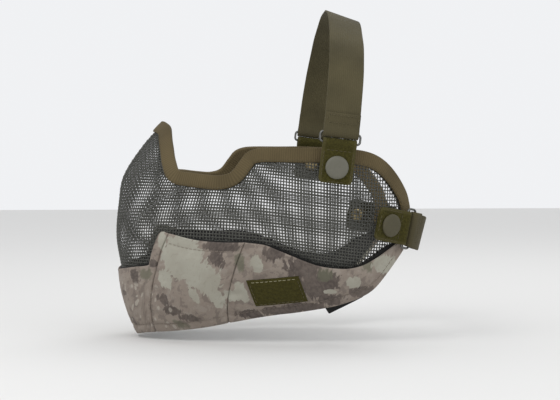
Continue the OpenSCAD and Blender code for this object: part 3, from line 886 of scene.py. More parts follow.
def down(c, s=None):
    """Places a distance s down each column, shape (columns, rows, 2); or the columns' lengths."""
    f = np.linspace(0, 1, 41)[None, :, None]
    e = c[:, :1] + (c[:, 1:] - c[:, :1]) * f
    ln = np.cumsum(np.linalg.norm(np.diff(middle_at(e), axis=1), axis=2), axis=1)
    ln = np.concatenate([np.zeros((len(c), 1)), ln], axis=1)
    if s is None:
        return ln[:, -1]
    s = np.broadcast_to(s, (len(c), np.shape(s)[-1]))
    return np.array([sampled(s[i], ln[i], e[i]) for i in range(len(c))])


PATCH_AT = (59.5, -81.2)
PATCH_SLANT = 0.22
PATCH_L, PATCH_H, PATCH_T = 35.0, 20.0, 1.5


def clear_of_patch(a, z):
    """0 under the loop panel, 1 away from it."""
    off = base(np.abs(a), z) - base(*PATCH_AT)
    sideways = np.linalg.norm(off[..., :2], axis=-1)
    return ease(np.maximum((sideways - 16) / 10, (np.abs(z - PATCH_AT[1]) - 9) / 8))


def cut(columns, side, step):
    """A panel's columns, their distance along it and their lengths, mirrored for the right side."""
    c, x = fine_columns(columns, step)
    whole = down(c)
    if side > 0:
        return c, x, whole
    c[..., 0] *= -1
    return c[::-1], x[-1] - x[::-1], whole[::-1]


# The cloth simulation, in a scene ten times life size, which suits its solver
SIM_SCALE = 10.0
SIM_FRAMES = 26
SIM_ROWS = 17
SIM_STEP = 3.4
FREE_TOP, FREE_ENDS = 1.3, 2.9  # how far the free cloth starts from the fold, and both ends together
HELD = 2.0  # half width of a strip that a line of stitches holds


def settle(specs):
    """Simulates each panel's cloth, a little larger than its place and pressed out by the foam,
    sewn down along its seams, its stitch lines and the loop panel. Returns, for each name, the
    places along and down the panel and how far the cloth stands out there."""
    made = {}
    for name, columns, side, _, top_line, _, _ in specs:
        c, x, whole = cut(columns, side, SIM_STEP)
        f = np.linspace(0, 1, SIM_ROWS)
        s = FREE_TOP + (whole[:, None] - FREE_ENDS) * f[None]
        e = down(c, s)
        p, n = on_shell(e, OUTER_D), facing(e)
        quads = wall_faces(*s.shape, round_section=False)
        q = p.reshape(-1, 3)[quads[0]]
        if np.cross(q[1] - q[0], q[3] - q[0]) @ n.reshape(-1, 3)[quads[0][0]] < 0:
            quads = quads[:, ::-1]
        ob = add_mesh("settling_" + name, p.reshape(-1, 3) * SIM_SCALE, quads, camo_m)
        sewn_down = np.zeros(s.shape, bool)
        sewn_down[[0, 1, -2, -1]] = sewn_down[:, [0, -1]] = True
        sewn_down |= np.abs(whole[:, None] - s - HEM_LINE) < HELD
        sewn_down |= clear_of_patch(e[..., 0], e[..., 1]) < 0.35
        if top_line > 0:
            sewn_down |= np.abs(s - top_line) < HELD
        group = ob.vertex_groups.new(name="sewn")
        group.add(np.flatnonzero(sewn_down.ravel()).tolist(), 1.0, "REPLACE")
        cloth = ob.modifiers.new("cloth", "CLOTH")
        k = cloth.settings
        k.quality, k.mass, k.air_damping = 7, 0.25, 2.0
        k.tension_stiffness, k.compression_stiffness, k.shear_stiffness = 12, 6, 4
        k.bending_stiffness = 0.35
        k.shrink_min = k.shrink_max = -0.03
        k.use_pressure, k.uniform_pressure_force = True, 0.45
        k.vertex_group_mass = "sewn"
        cloth.point_cache.frame_start, cloth.point_cache.frame_end = 1, SIM_FRAMES
        made[name] = ob, x, f, p, n
    for frame_number in range(1, SIM_FRAMES + 1):
        bpy.context.scene.frame_set(frame_number)
    graph = bpy.context.evaluated_depsgraph_get()
    out = {}
    for name, (ob, x, f, p, n) in made.items():
        me = ob.evaluated_get(graph).data
        co = np.empty(len(me.vertices) * 3, np.float32)
        me.vertices.foreach_get("co", co)
        moved = co.reshape(p.shape) / (MM * SIM_SCALE) - p
        out[name] = x, f, np.einsum("ijk,ijk->ij", moved, n)
        mesh = ob.data
        bpy.data.objects.remove(ob)
        bpy.data.meshes.remove(mesh)
    bpy.context.scene.frame_set(1)
    return out


def stands_out(result, x, f):
    """The simulated stand-off at places on the fine panel."""
    xs, fs, h = result
    rows = np.array([np.interp(x, xs, h[:, j]) for j in range(len(fs))])
    t = np.clip(f, 0, 1) * (len(fs) - 1)
    j = np.minimum(t.astype(int), len(fs) - 2)
    i = np.arange(len(x))[:, None]
    u = ease(t - j)
    return (1 - u) * rows[j, i] + u * rows[j + 1, i]


PANEL_STEP = 1.25
# The cloth's mid-line where it folds in at the top and under at the hem: (distance from the
# end, distance out from the mesh)
TOP_FOLD = np.array([(5.5, 2.0), (3.5, 2.0), (1.6, 2.0), (0.75, 2.0), (0.45, 2.12), (0.35, 2.4),
                     (0.45, 2.68), (0.75, OUTER_D), (1.3, OUTER_D)])
HEM_FOLD = np.array([(1.7, OUTER_D), (1.1, 2.68), (0.6, 2.3), (0.35, 1.7), (0.3, 0.9), (0.35, 0.1),
                     (0.6, -0.6), (1.15, -1.05), (2.4, -1.1)])
TURNED_IN, TURNED_UNDER = 6, 7  # points of each fold that lie behind the outer face
SHORT_COLUMN = 16.0  # columns shorter than this have smaller folds
BEHIND_NAPE_TAB = 104  # the angle beyond which the cloth lies flat, clear of the nape strap
MAX_RISE = 1.5


def line_dent(distance, width):
    """1 on a line, falling to 0 beyond its width."""
    return np.exp(-(distance / width) ** 2)


def relief(name, a, z, x, s, whole, seed, top_line, sag):
    """How far the outer face stands out: puff of the foam, folds, hem, stitches and seams."""
    x2 = np.broadcast_to(x[:, None], s.shape)
    left, edge = whole[:, None] - s, np.minimum(x2, x[-1] - x2)
    flat = clear_of_patch(a, z)
    puff = sag * ease((s - top_line) / 9) * ease((left - HEM_LINE) / 7) * ease(edge / 7)
    folds = (0.30 * waves(x2, s, 30, seed) + 0.24 * waves(x2, 0.45 * s, 13, seed + 1)
             + 0.10 * waves(x2, s, 5.5, seed + 2)) * ease(edge / 6)
    hem = 0.25 * np.sin(np.pi * np.clip(left / HEM_LINE, 0, 1)) - 0.12
    sewn_in = 0.16 * waves(x2, 0.12 * s, 3.6, seed + 3) * line_dent(left - HEM_LINE, 3.2)
    sewn_in -= 0.36 * line_dent(left - HEM_LINE, 0.75)
    if top_line > 0:
        sewn_in += 0.10 * waves(x2, 0.12 * s, 3.2, seed + 4) * line_dent(s - top_line, 3)
        sewn_in -= 0.30 * line_dent(s - top_line, 0.75)
    if name in settled:
        free = stands_out(settled[name], x, (s - FREE_TOP) / (whole[:, None] - FREE_ENDS))
        puff = 0.35 * puff + sag * np.clip(free, -0.6, 1.2)
        folds = 0.6 * folds
    rise = puff * flat + folds * (0.25 + 0.75 * flat) + np.where(left < HEM_LINE, hem, 0) + sewn_in
    most = MAX_RISE * (1 - ease((np.abs(a) - BEHIND_NAPE_TAB) / 12))
    return np.clip(rise, -0.7, most) * ease(s / 2.0) * ease(left / 1.2)


def panel(name, columns, side, seed, top_line, sag, node):
    """Camouflage cloth folded in at the top, puffed over the foam and turned under at the hem.
    Returns its stitch lines."""
    c, x, whole = cut(columns, side, PANEL_STEP)
    shrink = np.minimum(1, whole / SHORT_COLUMN)[:, None]
    f = np.linspace(0, 1, int(whole.max() / PANEL_STEP) + 1)[None, 1:-1]
    s_top, s_low = TOP_FOLD[None, :, 0] * shrink, whole[:, None] - HEM_FOLD[None, :, 0] * shrink
    s_mid = s_top[:, -1:] + (s_low[:, :1] - s_top[:, -1:]) * f
    s = np.concatenate([s_top, s_mid, s_low], axis=1)
    d = np.concatenate([np.broadcast_to(TOP_FOLD[:, 1], s_top.shape), np.full(s_mid.shape, OUTER_D),
                        np.broadcast_to(HEM_FOLD[:, 1], s_low.shape)], axis=1)
    e = down(c, s)
    a, z = e[..., 0], e[..., 1]
    face_rows = slice(TURNED_IN, -TURNED_UNDER)
    outer = np.zeros(s.shape, bool)
    outer[:, TURNED_IN:TURNED_IN + 5 + s_mid.shape[1]] = True
    d = d + np.where(outer, relief(name, a, z, x, s, whole, seed, top_line, sag), 0)
    edge = np.minimum(x, x[-1] - x)[:, None]
    seam = np.clip(1 - edge / 1.5, 0, 1)
    d = d - 1.15 * (1 - np.sqrt(1 - seam**2)) * np.clip(d / OUTER_D, 0, 1)
    ts, td = np.gradient(s, axis=1), np.gradient(d, axis=1)
    ln = np.maximum(np.hypot(ts, td), 1e-6)
    ns, nd = -td / ln, ts / ln
    half = CLOTH_T / 2 * (0.45 + 0.55 * ease(edge / 0.6))
    way = unit(middle_at(c[:, 1]) - middle_at(c[:, 0]))

    def face(sign):
        spill = s + sign * half * ns
        kept = np.clip(spill, 0, whole[:, None])
        return on_shell(down(c, kept), d + sign * half * nd) + (spill - kept)[..., None] * way[:, None]
    v = np.cumsum(np.hypot(np.diff(s), np.diff(d)), axis=1)
    v = np.concatenate([np.zeros((len(s), 1)), v], axis=1)
    uv = np.stack([np.broadcast_to(x[:, None], s.shape) + 300 * (seed % 7), v], -1)
    fields = {k: both_skins(w) for k, w in print_fields(a, z).items()}
    ob = sweep(name, both_skins(face(1), face(-1)), camo_m, both_skins(uv), fields)
    ride_on(ob, "shell", "camo_fabric", node)
    good = (x > 1.4) & (x < x[-1] - 1.4) & (whole > 13)
    lines = []
    for depth in [whole - HEM_LINE * shrink[:, 0]] + [np.full(len(c), top_line)] * (top_line > 0):
        q = down(c, depth[:, None])[:, 0]
        rise = [np.interp(v, row, out) for v, row, out in zip(depth, s[:, face_rows], d[:, face_rows])]
        lines.append((on_shell(q, np.array(rise) + CLOTH_T / 2)[good], facing(q)[good]))
    return ob, lines


def middle(p, q):
    return ((np.array(p) + np.array(q)) / 2).tolist()


seam_front, seam_back = middle(CHIN[-1], CHEEK[0]), middle(CHEEK[-1], JAW[0])
cheek, jaw = [seam_front] + CHEEK[1:-1] + [seam_back], [seam_back] + JAW[1:]
# Name, columns, side, seed, depth of the top stitches, how much the cloth puffs out, CAD node
PANELS = [
    ("chin_fabric", mirrored(CHIN[:-1] + [seam_front]), 1, 21, 0, 0.3, "chin_panel"),
    ("cheek_fabric_left", cheek, 1, 32, 6.5, 0.8, "cheek_panel_left"),
    ("cheek_fabric_right", cheek, -1, 43, 6.5, 0.8, "cheek_panel_right"),
    ("jaw_fabric_left", jaw, 1, 54, 0, 0.7, "jaw_panel_left"),
    ("jaw_fabric_right", jaw, -1, 65, 0, 0.7, "jaw_panel_right")]
settled = settle(PANELS)
cloth_stitches = Heap()
for spec in PANELS:
    ob, lines = panel(*spec)
    for p, n in lines:
        stitch_line(cloth_stitches, p, n, 2.2, 0.8, 0.17)
ride_on(cloth_stitches.mesh("panel_stitches", camo_thread_m), "shell", "camo_fabric")


def quilt(name, columns, outer_d, inner_d, step, puff, cell, material, slot, node, round_end):
    """A pad or lining with both faces on the shell, its inner face puffed between stitch lines.
    Returns it with its columns, their distance along it and their lengths."""
    c, x = fine_columns(columns, step)
    whole = down(c)
    near = np.array([0.02, 0.25, 0.7, 1.3])
    f = np.linspace(0, 1, int(whole.max() / step) + 1)[None, 1:-1]
    shrink = np.minimum(1, whole / 8)[:, None]
    s_top, s_low = near[None] * shrink, whole[:, None] - near[None, ::-1] * shrink
    s = np.concatenate([s_top, s_top[:, -1:] + (s_low[:, :1] - s_top[:, -1:]) * f, s_low], axis=1)
    e = down(c, s)
    x2 = np.broadcast_to(x[:, None] - x[-1] / 2, s.shape)
    border = np.minimum(np.minimum(s, whole[:, None] - s), np.minimum(x, x[-1] - x)[:, None])
    rounding = np.sqrt(1 - np.clip(1 - border / round_end, 0, 1) ** 2)
    pillows = 1 - np.exp(-(np.mod(x2 + cell / 2, cell) - cell / 2) ** 2 / 6)
    pillows = pillows * ease((border - 1) / 4)
    mid, h = (outer_d + inner_d) / 2, abs(outer_d - inner_d) / 2 * (0.25 + 0.75 * rounding)
    deep = h + puff * (pillows + 0.25 * waves(x2, s, 17, 7) * ease(border / 3))
    ob = sweep(name, both_skins(on_shell(e, mid + h), on_shell(e, mid - deep)), material,
               both_skins(np.stack([x2, s], -1)))
    ride_on(ob, "shell", slot, node)
    return ob, c, x, whole


QUILT_CELL = 31
LINING_IN = FABRIC_IN + LINING_T
lining, lining_c, lining_x, lining_s = quilt(
    "skirt_lining", mirrored(LINING), -FABRIC_IN, -LINING_IN, 1.8, 0.7, QUILT_CELL, lining_m,
    "lining_fabric", "inner_lining", 1.2)
foam = quilt("foam_pad", mirrored(FOAM), PAD_T / 2, -PAD_T / 2, 2.6, 0.05, 400, foam_m, "foam",
             "foam_padding", 1.0)[0]


def lining_stitch(heap, e, depth):
    stitch_line(heap, on_shell(e, -LINING_IN - depth), -facing(e), 2.6, 1.1)


lining_stitches = Heap()
seam_at = np.arange(-6, 7) * QUILT_CELL + lining_x[-1] / 2
for q in seam_at[(seam_at > 6) & (seam_at < lining_x[-1] - 6)]:
    i = int(np.argmin(np.abs(lining_x - q)))
    s = np.arange(3, lining_s[i] - 2, 1.0)
    lining_stitch(lining_stitches, down(lining_c[i:i + 1], s[None])[0], 0.04)
for from_edge in (2.2, lining_s - 2.2):
    s = (from_edge + 0 * lining_s)[:, None]
    lining_stitch(lining_stitches, down(lining_c, s)[:, 0][lining_s > 9], 0.1)
ride_on(lining_stitches.mesh("lining_stitches", black_thread_m), "shell", "lining_fabric")


def overcast(border):
    """Whip stitches that hold the black tape's upper border to the mesh, closer at the rear."""
    heap = Heap()
    run = length_of(middle_at(border))
    over = TAPE_PLY + MESH_T / 2 + PLY_GAP + np.array([-0.1, 0.16, 0.2, 0.1, -0.25, -0.35, -0.7])
    q = 0.0
    while q < run[-1] - 3:
        a_here = abs(np.interp(q, run, border[:, 0]))
        rear = ease((a_here - 70) / 40)
        if a_here > 38:
            e = sampled(np.linspace(q, q + 1.0 + 1.6 * rear, len(over)), run, border)
            e[:, 1] += np.linspace(-1.5, 1.3 + 2.4 * rear, len(over))
            heap.add(tube(on_shell(e, over), facing(e), 0.17, 0.17))
        q += 1.9 - 0.5 * rear if a_here > 38 else 1.0
    return heap


ride_on(overcast(lower_border).mesh("tape_overcast", black_thread_m), "shell", "black_tape")


# ---------------------------------------------------------------- parts that sit at a snap

def turn(axis, degrees):
    return np.array(Matrix.Rotation(math.radians(degrees), 3, axis))


def snap_frame(place, az, el, roll, side):
    """Local points to the shared frame: X out along the snap, Z along the tab."""
    m = turn("Z", az) @ turn("Y", -el) @ turn("X", roll)
    flip = np.array([side, 1, 1])
    return lambda p: (np.asarray(p, float) @ m.T + place) * flip


RING_X = 5.45
RING_PITCH = 6.5
UPPER_REACH, REAR_REACH = 19.4, 17.0  # from a snap to the middle of its ring
# Each snap's name, its frame and its reach
SPOTS = []
for side, tag in SIDES:
    SPOTS.append(("upper_" + tag, snap_frame((HALF_W, 0, 0), 0, 0, -7, side), UPPER_REACH))
    SPOTS.append(("rear_" + tag, snap_frame(REAR_SNAP, 32, -6, -100, side), REAR_REACH))


def lathe(name, profile, n, frame_of, material):
    """A round solid about local X through a profile of (radius, x), closed at both ends."""
    r, x = np.array(profile, float).T
    m = len(x)
    t = 2 * np.pi * np.arange(n) / n
    pts = np.stack([np.broadcast_to(x[:, None], (m, n)), r[:, None] * np.cos(t),
                    r[:, None] * np.sin(t)], -1).reshape(-1, 3)
    verts = frame_of(np.concatenate([pts, [[x[0], 0, 0], [x[-1], 0, 0]]]))
    one = np.arange(n)
    two = (one + 1) % n
    low = np.stack([two, one, np.full(n, m * n)], -1)
    high = np.stack([one + (m - 1) * n, two + (m - 1) * n, np.full(n, m * n + 1)], -1)
    quads, tris = wall_faces(m, n), np.concatenate([low, high])
    if volume_in(verts, quads) + volume_in(verts, tris) < 0:
        quads, tris = quads[:, ::-1], tris[:, ::-1]
    return add_mesh(name, verts, quads, material, tris=tris)


def ring_wire(name, frame_of, centre_z):
    """A rectangular wire ring with round corners."""
    r, half_y, half_z, corner = 0.75, 13.25, RING_PITCH / 2, 2.0
    y0, z0 = half_y - corner, half_z - corner
    path = []
    for y, z, t0 in ((y0, z0, 0), (-y0, z0, 90), (-y0, -z0, 180), (y0, -z0, 270)):
        for t in np.radians(np.linspace(t0, t0 + 90, 11)):
            path.append((RING_X, y + corner * math.cos(t), centre_z + z + corner * math.sin(t)))
    dense = []
    for p, q in zip(np.array(path), np.roll(path, -1, axis=0)):
        k = max(1, int(np.linalg.norm(q - p) / 1.2))
        dense += [p + (q - p) * u / k for u in range(k)]
    p = np.array(dense)
    t = unit(np.roll(p, -1, axis=0) - np.roll(p, 1, axis=0))
    n = np.broadcast_to([1.0, 0, 0], p.shape)[:, None]
    b = np.cross(t, n[:, 0])[:, None]
    a = 2 * np.pi * np.arange(16)[:, None] / 16
    rings = p[:, None] + r * (np.cos(a) * n + np.sin(a) * b)
    verts = frame_of(rings.reshape(-1, 3))
    return add_mesh(name, verts, outward_faces(verts, wall_faces(*rings.shape[:2], hoop=True)), ring_m)


def band(name, points, sides, half_w, half_t, material, across=16, rough=0.0, seed=1, border=None):
    """A band through points, `sides` along its width, with rounded selvedges."""
    m = len(points)
    way = unit(np.gradient(points, axis=0))
    side = unit(sides - np.einsum("ij,ij->i", sides, way)[:, None] * way)
    out = np.cross(side, way)
    hw = np.broadcast_to(np.asarray(half_w, float), m)[:, None]
    ht = np.broadcast_to(np.asarray(half_t, float), m)[:, None]
    v = np.concatenate([[-1, -0.985, -0.955], np.linspace(-0.92, 0.92, across), [0.955, 0.985, 1]])
    lift = np.concatenate([[0.3, 0.72, 0.95], np.ones(across), [0.95, 0.72, 0.3]])
    s = length_of(points)[:, None]
    grain = rough * waves(s, (v * hw.max())[None], 1.9, seed) if rough else 0
    place = lambda d: points[:, None] + side[:, None] * (v * hw)[..., None] + out[:, None] * d[..., None]
    rings = both_skins(place(lift * ht + grain * (np.abs(v) < 0.9)), place(-lift * ht))
    uv = np.stack(np.broadcast_arrays(s, v * hw), -1)
    fields = None
    if border is not None:
        fields = {"border": both_skins(ease((np.abs(v) * hw - (hw - border)) / 0.5))}
    return sweep(name, rings, material, both_skins(uv), fields)


def tab_path(loop_z):
    """Mid-line of a tab from the tip of its outer ply, over the ring and down its inner ply."""
    go = [(6.05, -10.75), (6.05, -7), (6.05, -3), (6.05, 3), (6.05, loop_z - 5.2), (6.35, loop_z - 3.8),
          (7.15, loop_z - 1.9)]
    over = [(RING_X + 2.3 * math.cos(t), loop_z + 2.4 * math.sin(t)) for t in np.radians(
        np.arange(-8, 189, 14))]
    back = [(2 * RING_X - x, z) for x, z in go[::-1]]
    return smooth([(x, 0.0, z) for x, z in go + over + back], 6)


def along(frame_of, direction):
    """A local direction in the shared frame."""
    return frame_of([direction])[0] - frame_of([[0, 0, 0]])[0]


def sewn(heap, frame_of, height, start, end, stitch=(2.0, 0.8, 0.18)):
    """Stitches between two local places (y, z) at a height above the snap."""
    pts = resample(np.array([(height, *start), (height, *end)], float), 0.7)
    n = along(frame_of, [1, 0, 0])
    stitch_line(heap, frame_of(pts), np.broadcast_to(n, pts.shape), *stitch)


TAB_HALF_W, TAB_HALF_T = 11.25, 0.6
TAB_CORNER = 4
TAB_TOP = 6.64
CAP = [(0.02, 6.72), (5.6, 6.72), (6.9, 6.8), (7.35, 6.98), (7.62, 7.3), (7.65, 7.7), (7.55, 8.05),
       (7.25, 8.4), (6.7, 8.7), (6.0, 8.88), (5.2, 8.96), (4.2, 8.97), (3.0, 8.93), (1.6, 8.9),
       (0.02, 8.89)]
POST = [(0.02, -1.5), (1.0, -1.5), (1.25, -1.9), (1.6, -2.2), (3.6, -2.15), (4.4, -2.05), (4.7, -1.8),
        (4.6, -1.45), (4.2, -1.4), (1.7, -1.4), (1.7, 0.9), (0.02, 0.9)]


def tab(spot, frame_of, loop_z, body):
    path = resample(tab_path(loop_z), 0.5)
    into_corner = np.where(path[:, 2] < -7, path[:, 2] + 7, 0)
    round_off = TAB_CORNER - np.sqrt(np.maximum(TAB_CORNER**2 - into_corner**2, 0))
    half_w = TAB_HALF_W - round_off + 0.12 * waves(length_of(path), 0, 9, 3)
    half_t = tapered(TAB_HALF_T, len(path), [0.45, 0.8, 0.95, 1.0])
    across = np.broadcast_to(along(frame_of, [0, 1, 0]), path.shape)
    ob = band("tab_cloth_" + spot, frame_of(path), across, half_w, half_t, pile_m, 28, 0.09, 5, 2.1)
    ride_on(ob, body, "loop_pile", "tab_" + spot)
    heap = Heap()
    for y in (-9.7, 9.7):
        sewn(heap, frame_of, TAB_TOP, (y, -7), (y, loop_z - 5.4))
    sewn(heap, frame_of, TAB_TOP, (-9.2, loop_z - 5.2), (9.2, loop_z - 5.2))
    sewn(heap, frame_of, TAB_TOP, (-6.9, -9.6), (6.9, -9.6))
    ride_on(heap.mesh("tab_stitches_" + spot, olive_thread_m), body, "loop_pile")


for spot, frame_of, reach_z in SPOTS:
    place, tag = spot.split("_")
    upper = place == "upper"
    tab_body = "head_strap" if upper else "nape_tab_" + tag
    tab(spot, frame_of, reach_z - RING_PITCH / 2, tab_body)
    ob = lathe("cap_" + spot, CAP, 96, frame_of, cap_m if upper else brown_cap_m)
    ride_on(ob, tab_body, "snap_paint", "snap_cap_" + spot)
    ride_on(lathe("post_" + spot, POST, 64, frame_of, brass_m), "shell", "snap_brass",
            "snap_post_" + spot)
    ride_on(ring_wire("ring_wire_" + spot, frame_of, reach_z), f"{place}_ring_{tag}", "ring_steel",
            "ring_" + spot)
    for part in ("snap_stud_", "snap_socket_"):
        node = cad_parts[part + spot]
        node.data.materials.clear()
        node.data.materials.append(brass_m)


# ---------------------------------------------------------------- straps

def strap_loop(bar_z, flap, foot, drop=2.42):
    """Mid-line of a strap's end: flap, loop round a ring's outer bar, and up the inner side."""
    go = [(6.32, bar_z + flap), (6.34, bar_z + 0.5 * flap + 2.1), (6.45, bar_z + 4.2), (6.95, bar_z + 2.9)]
    over = [(RING_X + 2.3 * math.cos(t), bar_z + drop * math.sin(t)) for t in np.radians(
        np.arange(14, -190, -14))]
    return [(x, 0.0, z) for x, z in go + over + foot]


STRAP_HALF_W = 11.8
STRAP_END = [0.5, 0.85, 1.0]
STRAP_STITCH = (1.7, 0.6, 0.2)
STRAP_LEAN = math.radians(7)
HEAD_ARCH = [[84.9, 30.5], [84.0, 36], [82.8, 40], [78, 54], [70, 68.5], [57.5, 82], [40, 93.5],
             [20.5, 102.1], [0, 105]]
NAPE = [[57.6, 56.2, -43.5], [53.6, 59.8, -44.6], [46, 62.5, -45.6], [32, 64.6, -46.4],
        [16, 65.7, -46.8], [0, 66, -47]]


def strap(name, half, side_at, thick_at, sway, seed):
    """An elastic band from one ring to the other. Half of its mid-line is given, and functions
    of the whole line give its width's direction and its half thickness."""
    path = resample(np.concatenate([half, half[-2::-1] * [-1, 1, 1]]), 0.8)
    s = length_of(path)
    near_end = np.minimum(s, s[-1] - s)
    thick = tapered(thick_at(near_end), len(s), STRAP_END)
    wide = STRAP_HALF_W + sway * waves(s, 0 * s, 34, seed)
    ob = band(name + "_band", path, side_at(path, s, near_end), wide, thick, elastic_m, 26)
    ride_on(ob, name, "olive_elastic", name)


def strap_stitches(name, place, lines):
    """The seams that close a strap's loops, as (y, z) places from the outer bar of each ring."""
    heap = Heap()
    for spot, frame_of, reach_z in SPOTS:
        if spot.startswith(place):
            bar_z = reach_z + RING_PITCH / 2
            for height, (y0, z0), (y1, z1) in lines:
                sewn(heap, frame_of, height, (y0, bar_z + z0), (y1, bar_z + z1), STRAP_STITCH)
    ride_on(heap.mesh(name + "_stitches", olive_thread_m), name, "olive_elastic")


def head_sides(path, s, near_end):
    t = np.radians(7 + 12 * np.cos(np.radians(90 * np.minimum(np.abs(path[:, 0]) / 80, 1))))
    return np.stack([0 * t, np.cos(t), -np.sin(t)], -1)


loop = strap_loop(UPPER_REACH + RING_PITCH / 2, 13.0, [(3.6, 24.7), (4.35, 26.6)], 2.9)
x, up = smooth([(HALF_W + x, z) for x, _, z in loop] + HEAD_ARCH, 6).T
strap("head_strap", np.stack([x, up * math.sin(STRAP_LEAN), up * math.cos(STRAP_LEAN)], -1),
      head_sides, lambda near_end: 0.6 + 0.15 * ease((near_end - 24) / 8), 0.14, 9)
strap_stitches("head_strap", "upper", [(6.96, (-10.2, z), (10.2, z)) for z in (6.4, 11.4)]
               + [(6.96, (y, 6.4), (y, 11.4)) for y in (-10.2, 10.2)])

rear_left = SPOTS[1][1]


def nape_sides(path, s, near_end):
    """Along the ring's bar near each end, and upright behind the neck."""
    upright = np.stack([0.04 * path[:, 0] / 60, 0 * s + 0.243, 0 * s + 0.969], -1)
    bar = along(rear_left, [0, 1, 0])
    bar = bar * np.sign(bar[2])
    mirror = np.where(s < s[-1] / 2, 1, -1)[:, None] * [1, 0, 0] + [0, 1, 1]
    share = ease((near_end - 19) / 14)[:, None]
    return unit((1 - share) * bar * mirror + share * upright)


loop = rear_left(strap_loop(REAR_REACH + RING_PITCH / 2, 5.5, [(3.3, 22.4)]))
strap("nape_strap", smooth(np.concatenate([loop, NAPE]), 6), nape_sides,
      lambda near_end: 0.56 + 0.19 * ease((near_end - 20) / 8), 0.12, 10)
strap_stitches("nape_strap", "rear", [(6.95, (-10.4, 4.1), (10.4, 4.1))])


# ---------------------------------------------------------------- loop panels and hem tabs

PATCH_EDGE = np.array([0, 0.12, 0.35, 0.75, 1.2])
PATCH_GRID = 0.45
PATCH_SEAM = 1.6  # how far the seam lies from the panel's edge
PATCH_LIFT = 0.12
HEM_TAB_AT = ((54.6, 19, -83.5), 5, -30, 122)
HEM_TAB_L, HEM_TAB_HALF_W, HEM_TAB_HALF_T = 26, 6.0, 0.6


def patch_frame():
    n = outward(*PATCH_AT)
    az, el = math.degrees(math.atan2(n[1], n[0])), math.degrees(math.asin(n[2]))
    return snap_frame(at(PATCH_AT[0], PATCH_AT[1], FABRIC_OUT), az, el, 6, 1)


def laid_on(frame_of, y, z, d):
    """Places on the slanted loop panel, laid down on the shell at a distance d from it."""
    q = frame_of(np.stack([0 * y, y - PATCH_SLANT * z, z], -1).reshape(-1, 3)).reshape(*y.shape, 3)
    foot = q
    turn_of = lambda p: np.degrees(np.arctan2(p[..., 0], -p[..., 1]))
    for _ in range(6):
        a = turn_of(foot)
        n = outward(a, foot[..., 2])
        foot = q - (np.einsum("...i,...i->...", q - base(a, foot[..., 2]), n))[..., None] * n
    return at(turn_of(foot), foot[..., 2], d)


def patch_steps(length):
    flat = np.arange(PATCH_SEAM, length - 1.5, PATCH_GRID)
    return np.concatenate([PATCH_EDGE, flat, length - PATCH_EDGE[::-1]])


def loop_panel(side, tag):
    frame_of = patch_frame()
    y, z = np.meshgrid(patch_steps(PATCH_L), patch_steps(PATCH_H), indexing="ij")
    off = np.minimum(np.minimum(y, PATCH_L - y), np.minimum(z, PATCH_H - z))
    rounding = 0.35 + 0.65 * np.sqrt(1 - np.clip(1 - off / 1.0, 0, 1) ** 2)
    fuzz = 0.14 * waves(y, z, 1.6, 70 + side) + 0.10 * waves(y, z, 4.5, 80 + side)
    sunk = -0.22 * np.exp(-((off - PATCH_SEAM) / 0.6) ** 2)
    top = FABRIC_OUT + PATCH_LIFT + (PATCH_T - 0.1) * rounding + (fuzz + sunk) * ease(off / 1.0)
    jag = 0.12 * waves(y, z, 1.1, 90 + side) * (off < 0.2)
    flip = np.array([side, 1, 1])
    lay = lambda d: laid_on(frame_of, y - PATCH_L / 2 + jag, z - PATCH_H / 2 + jag, d) * flip
    rings = both_skins(lay(top), lay(FABRIC_OUT + 0.04 + 0 * y))
    ob = sweep("loop_panel_" + tag, rings, pile_m, both_skins(np.stack([y, z], -1)),
               {"border": np.zeros(rings.shape[:2])})
    ride_on(ob, "shell", "loop_pile", "loop_patch_" + tag)
    # The top edge's stitches take the paler thread, a painted highlight where light falls on that edge;
    # the other three sides take the olive thread.
    painted_highlight_heap, rest = Heap(), Heap()
    a, b = PATCH_L / 2 - PATCH_SEAM, PATCH_H / 2 - 1.5
    for p, q in (((-a, b), (a, b)), ((-a, -b), (a, -b)), ((-a, -b), (-a, b)), ((a, -b), (a, b))):
        u = np.linspace(0, 1, 40)
        line = lambda d: laid_on(frame_of, p[0] + (q[0] - p[0]) * u, p[1] + (q[1] - p[1]) * u,
                                 np.full(40, d)) * flip
        pts = line(FABRIC_OUT + PATCH_T - PATCH_LIFT)
        stitch_line(painted_highlight_heap if p[1] == q[1] == b else rest, pts, unit(line(8.0) - pts), 2.1, 0.9, 0.2)
    ride_on(painted_highlight_heap.mesh("loop_panel_top_stitches_" + tag, painted_highlight_thread_m), "shell", "loop_pile")
    ride_on(rest.mesh("loop_panel_stitches_" + tag, olive_thread_m), "shell", "loop_pile")


def hem_tab(side, tag):
    frame_of = snap_frame(*HEM_TAB_AT, side)
    flat = HEM_TAB_L - 1
    z = np.concatenate([[0, 0.3], np.arange(1, flat, 0.7),
                        flat + np.sin(np.radians(np.arange(0, 91, 15)))])
    half_w = HEM_TAB_HALF_W - 1 + np.sqrt(np.maximum(1 - np.clip(z - flat, 0, 1) ** 2, 0))
    points = np.stack([0.12 * np.sin(z / 5), 0 * z, z], -1)
    across = np.broadcast_to(along(frame_of, [0, 1, 0]), points.shape)
    ob = band("hem_tab_tape_" + tag, frame_of(points), across, half_w,
              tapered(HEM_TAB_HALF_T, len(z), STRAP_END), black_m, 14)
    ride_on(ob, "hem_tab_" + tag, "black_tape", "hem_tab_" + tag)


for make in (loop_panel, hem_tab):
    for side, tag in SIDES:
        make(side, tag)

# ---------------------------------------------------------------- stage

FLOOR_Z = -118.5


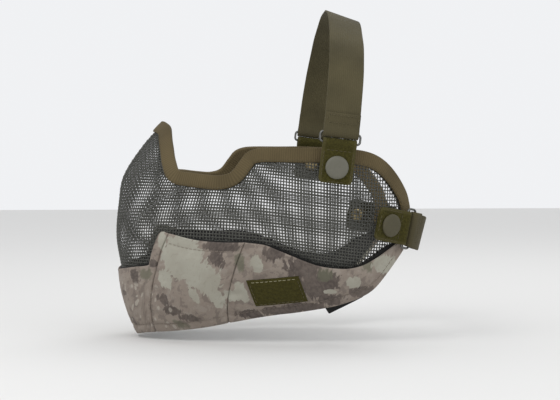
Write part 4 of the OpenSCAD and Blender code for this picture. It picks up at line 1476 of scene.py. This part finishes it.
FLOOR_HALF = 2.2
LIGHTS = [("key", (0.55, -0.55, 0.75), 0.55, 3.0), ("fill", (0.9, 0.55, 0.25), 0.7, 1.2),
          ("rim", (-0.6, 0.3, 0.8), 0.5, 1.5)]  # name, place, size and power
CAMERA_AIM = Vector((0, -0.0298, -0.0242))
CAMERA_ROUND, CAMERA_UP, CAMERA_FAR = math.radians(85), math.radians(2), 1.3
CAMERA_LENS = 119.37857


def put(name, data):
    ob = bpy.data.objects.new(name, data)
    bpy.context.scene.collection.objects.link(ob)
    return ob


def build_stage():
    me = bpy.data.meshes.new("floor")
    h, z = FLOOR_HALF, FLOOR_Z * MM
    me.from_pydata([(-h, -h, z), (h, -h, z), (h, h, z), (-h, h, z)], [], [(0, 1, 2, 3)])
    k = Look("floor_grey")
    k.set(Base_Color=(0.74, 0.735, 0.72), Roughness=0.9)
    me.materials.append(k.mat)
    staged = [put("floor", me)]
    world = bpy.data.worlds.new("studio")
    bpy.context.scene.world = world
    world.use_nodes = True
    sky = world.node_tree.nodes["Background"].inputs
    sky["Color"].default_value = (0.97, 0.98, 1.0, 1)
    sky["Strength"].default_value = 0.9
    for name, place, size, power in LIGHTS:
        light = bpy.data.lights.new(name, "AREA")
        light.energy, light.size = power, size
        ob = put(name, light)
        ob.location = place
        ob.rotation_euler = (-Vector(place)).to_track_quat("-Z", "Y").to_euler()
        staged.append(ob)
    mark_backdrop(*staged)


def place_camera():
    camera = put("camera", bpy.data.cameras.new("camera"))
    bpy.context.scene.camera = camera
    back = Vector((math.sin(CAMERA_ROUND) * math.cos(CAMERA_UP),
                   -math.cos(CAMERA_ROUND) * math.cos(CAMERA_UP), math.sin(CAMERA_UP)))
    camera.location = CAMERA_AIM + back * CAMERA_FAR
    camera.rotation_euler = back.to_track_quat("Z", "Y").to_euler()
    camera.data.sensor_fit = "HORIZONTAL"
    camera.data.sensor_width = 36
    camera.data.lens = CAMERA_LENS
    camera.data.clip_start, camera.data.clip_end = 0.05, 20


build_stage()
place_camera()
view = bpy.context.scene.view_settings
view.view_transform, view.look, view.exposure = "Standard", "None", 0.0

new_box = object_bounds()
plain = lambda v: [list(map(float, q)) for q in v]
{"cad": plain(cad_box), "visual": plain(new_box)}
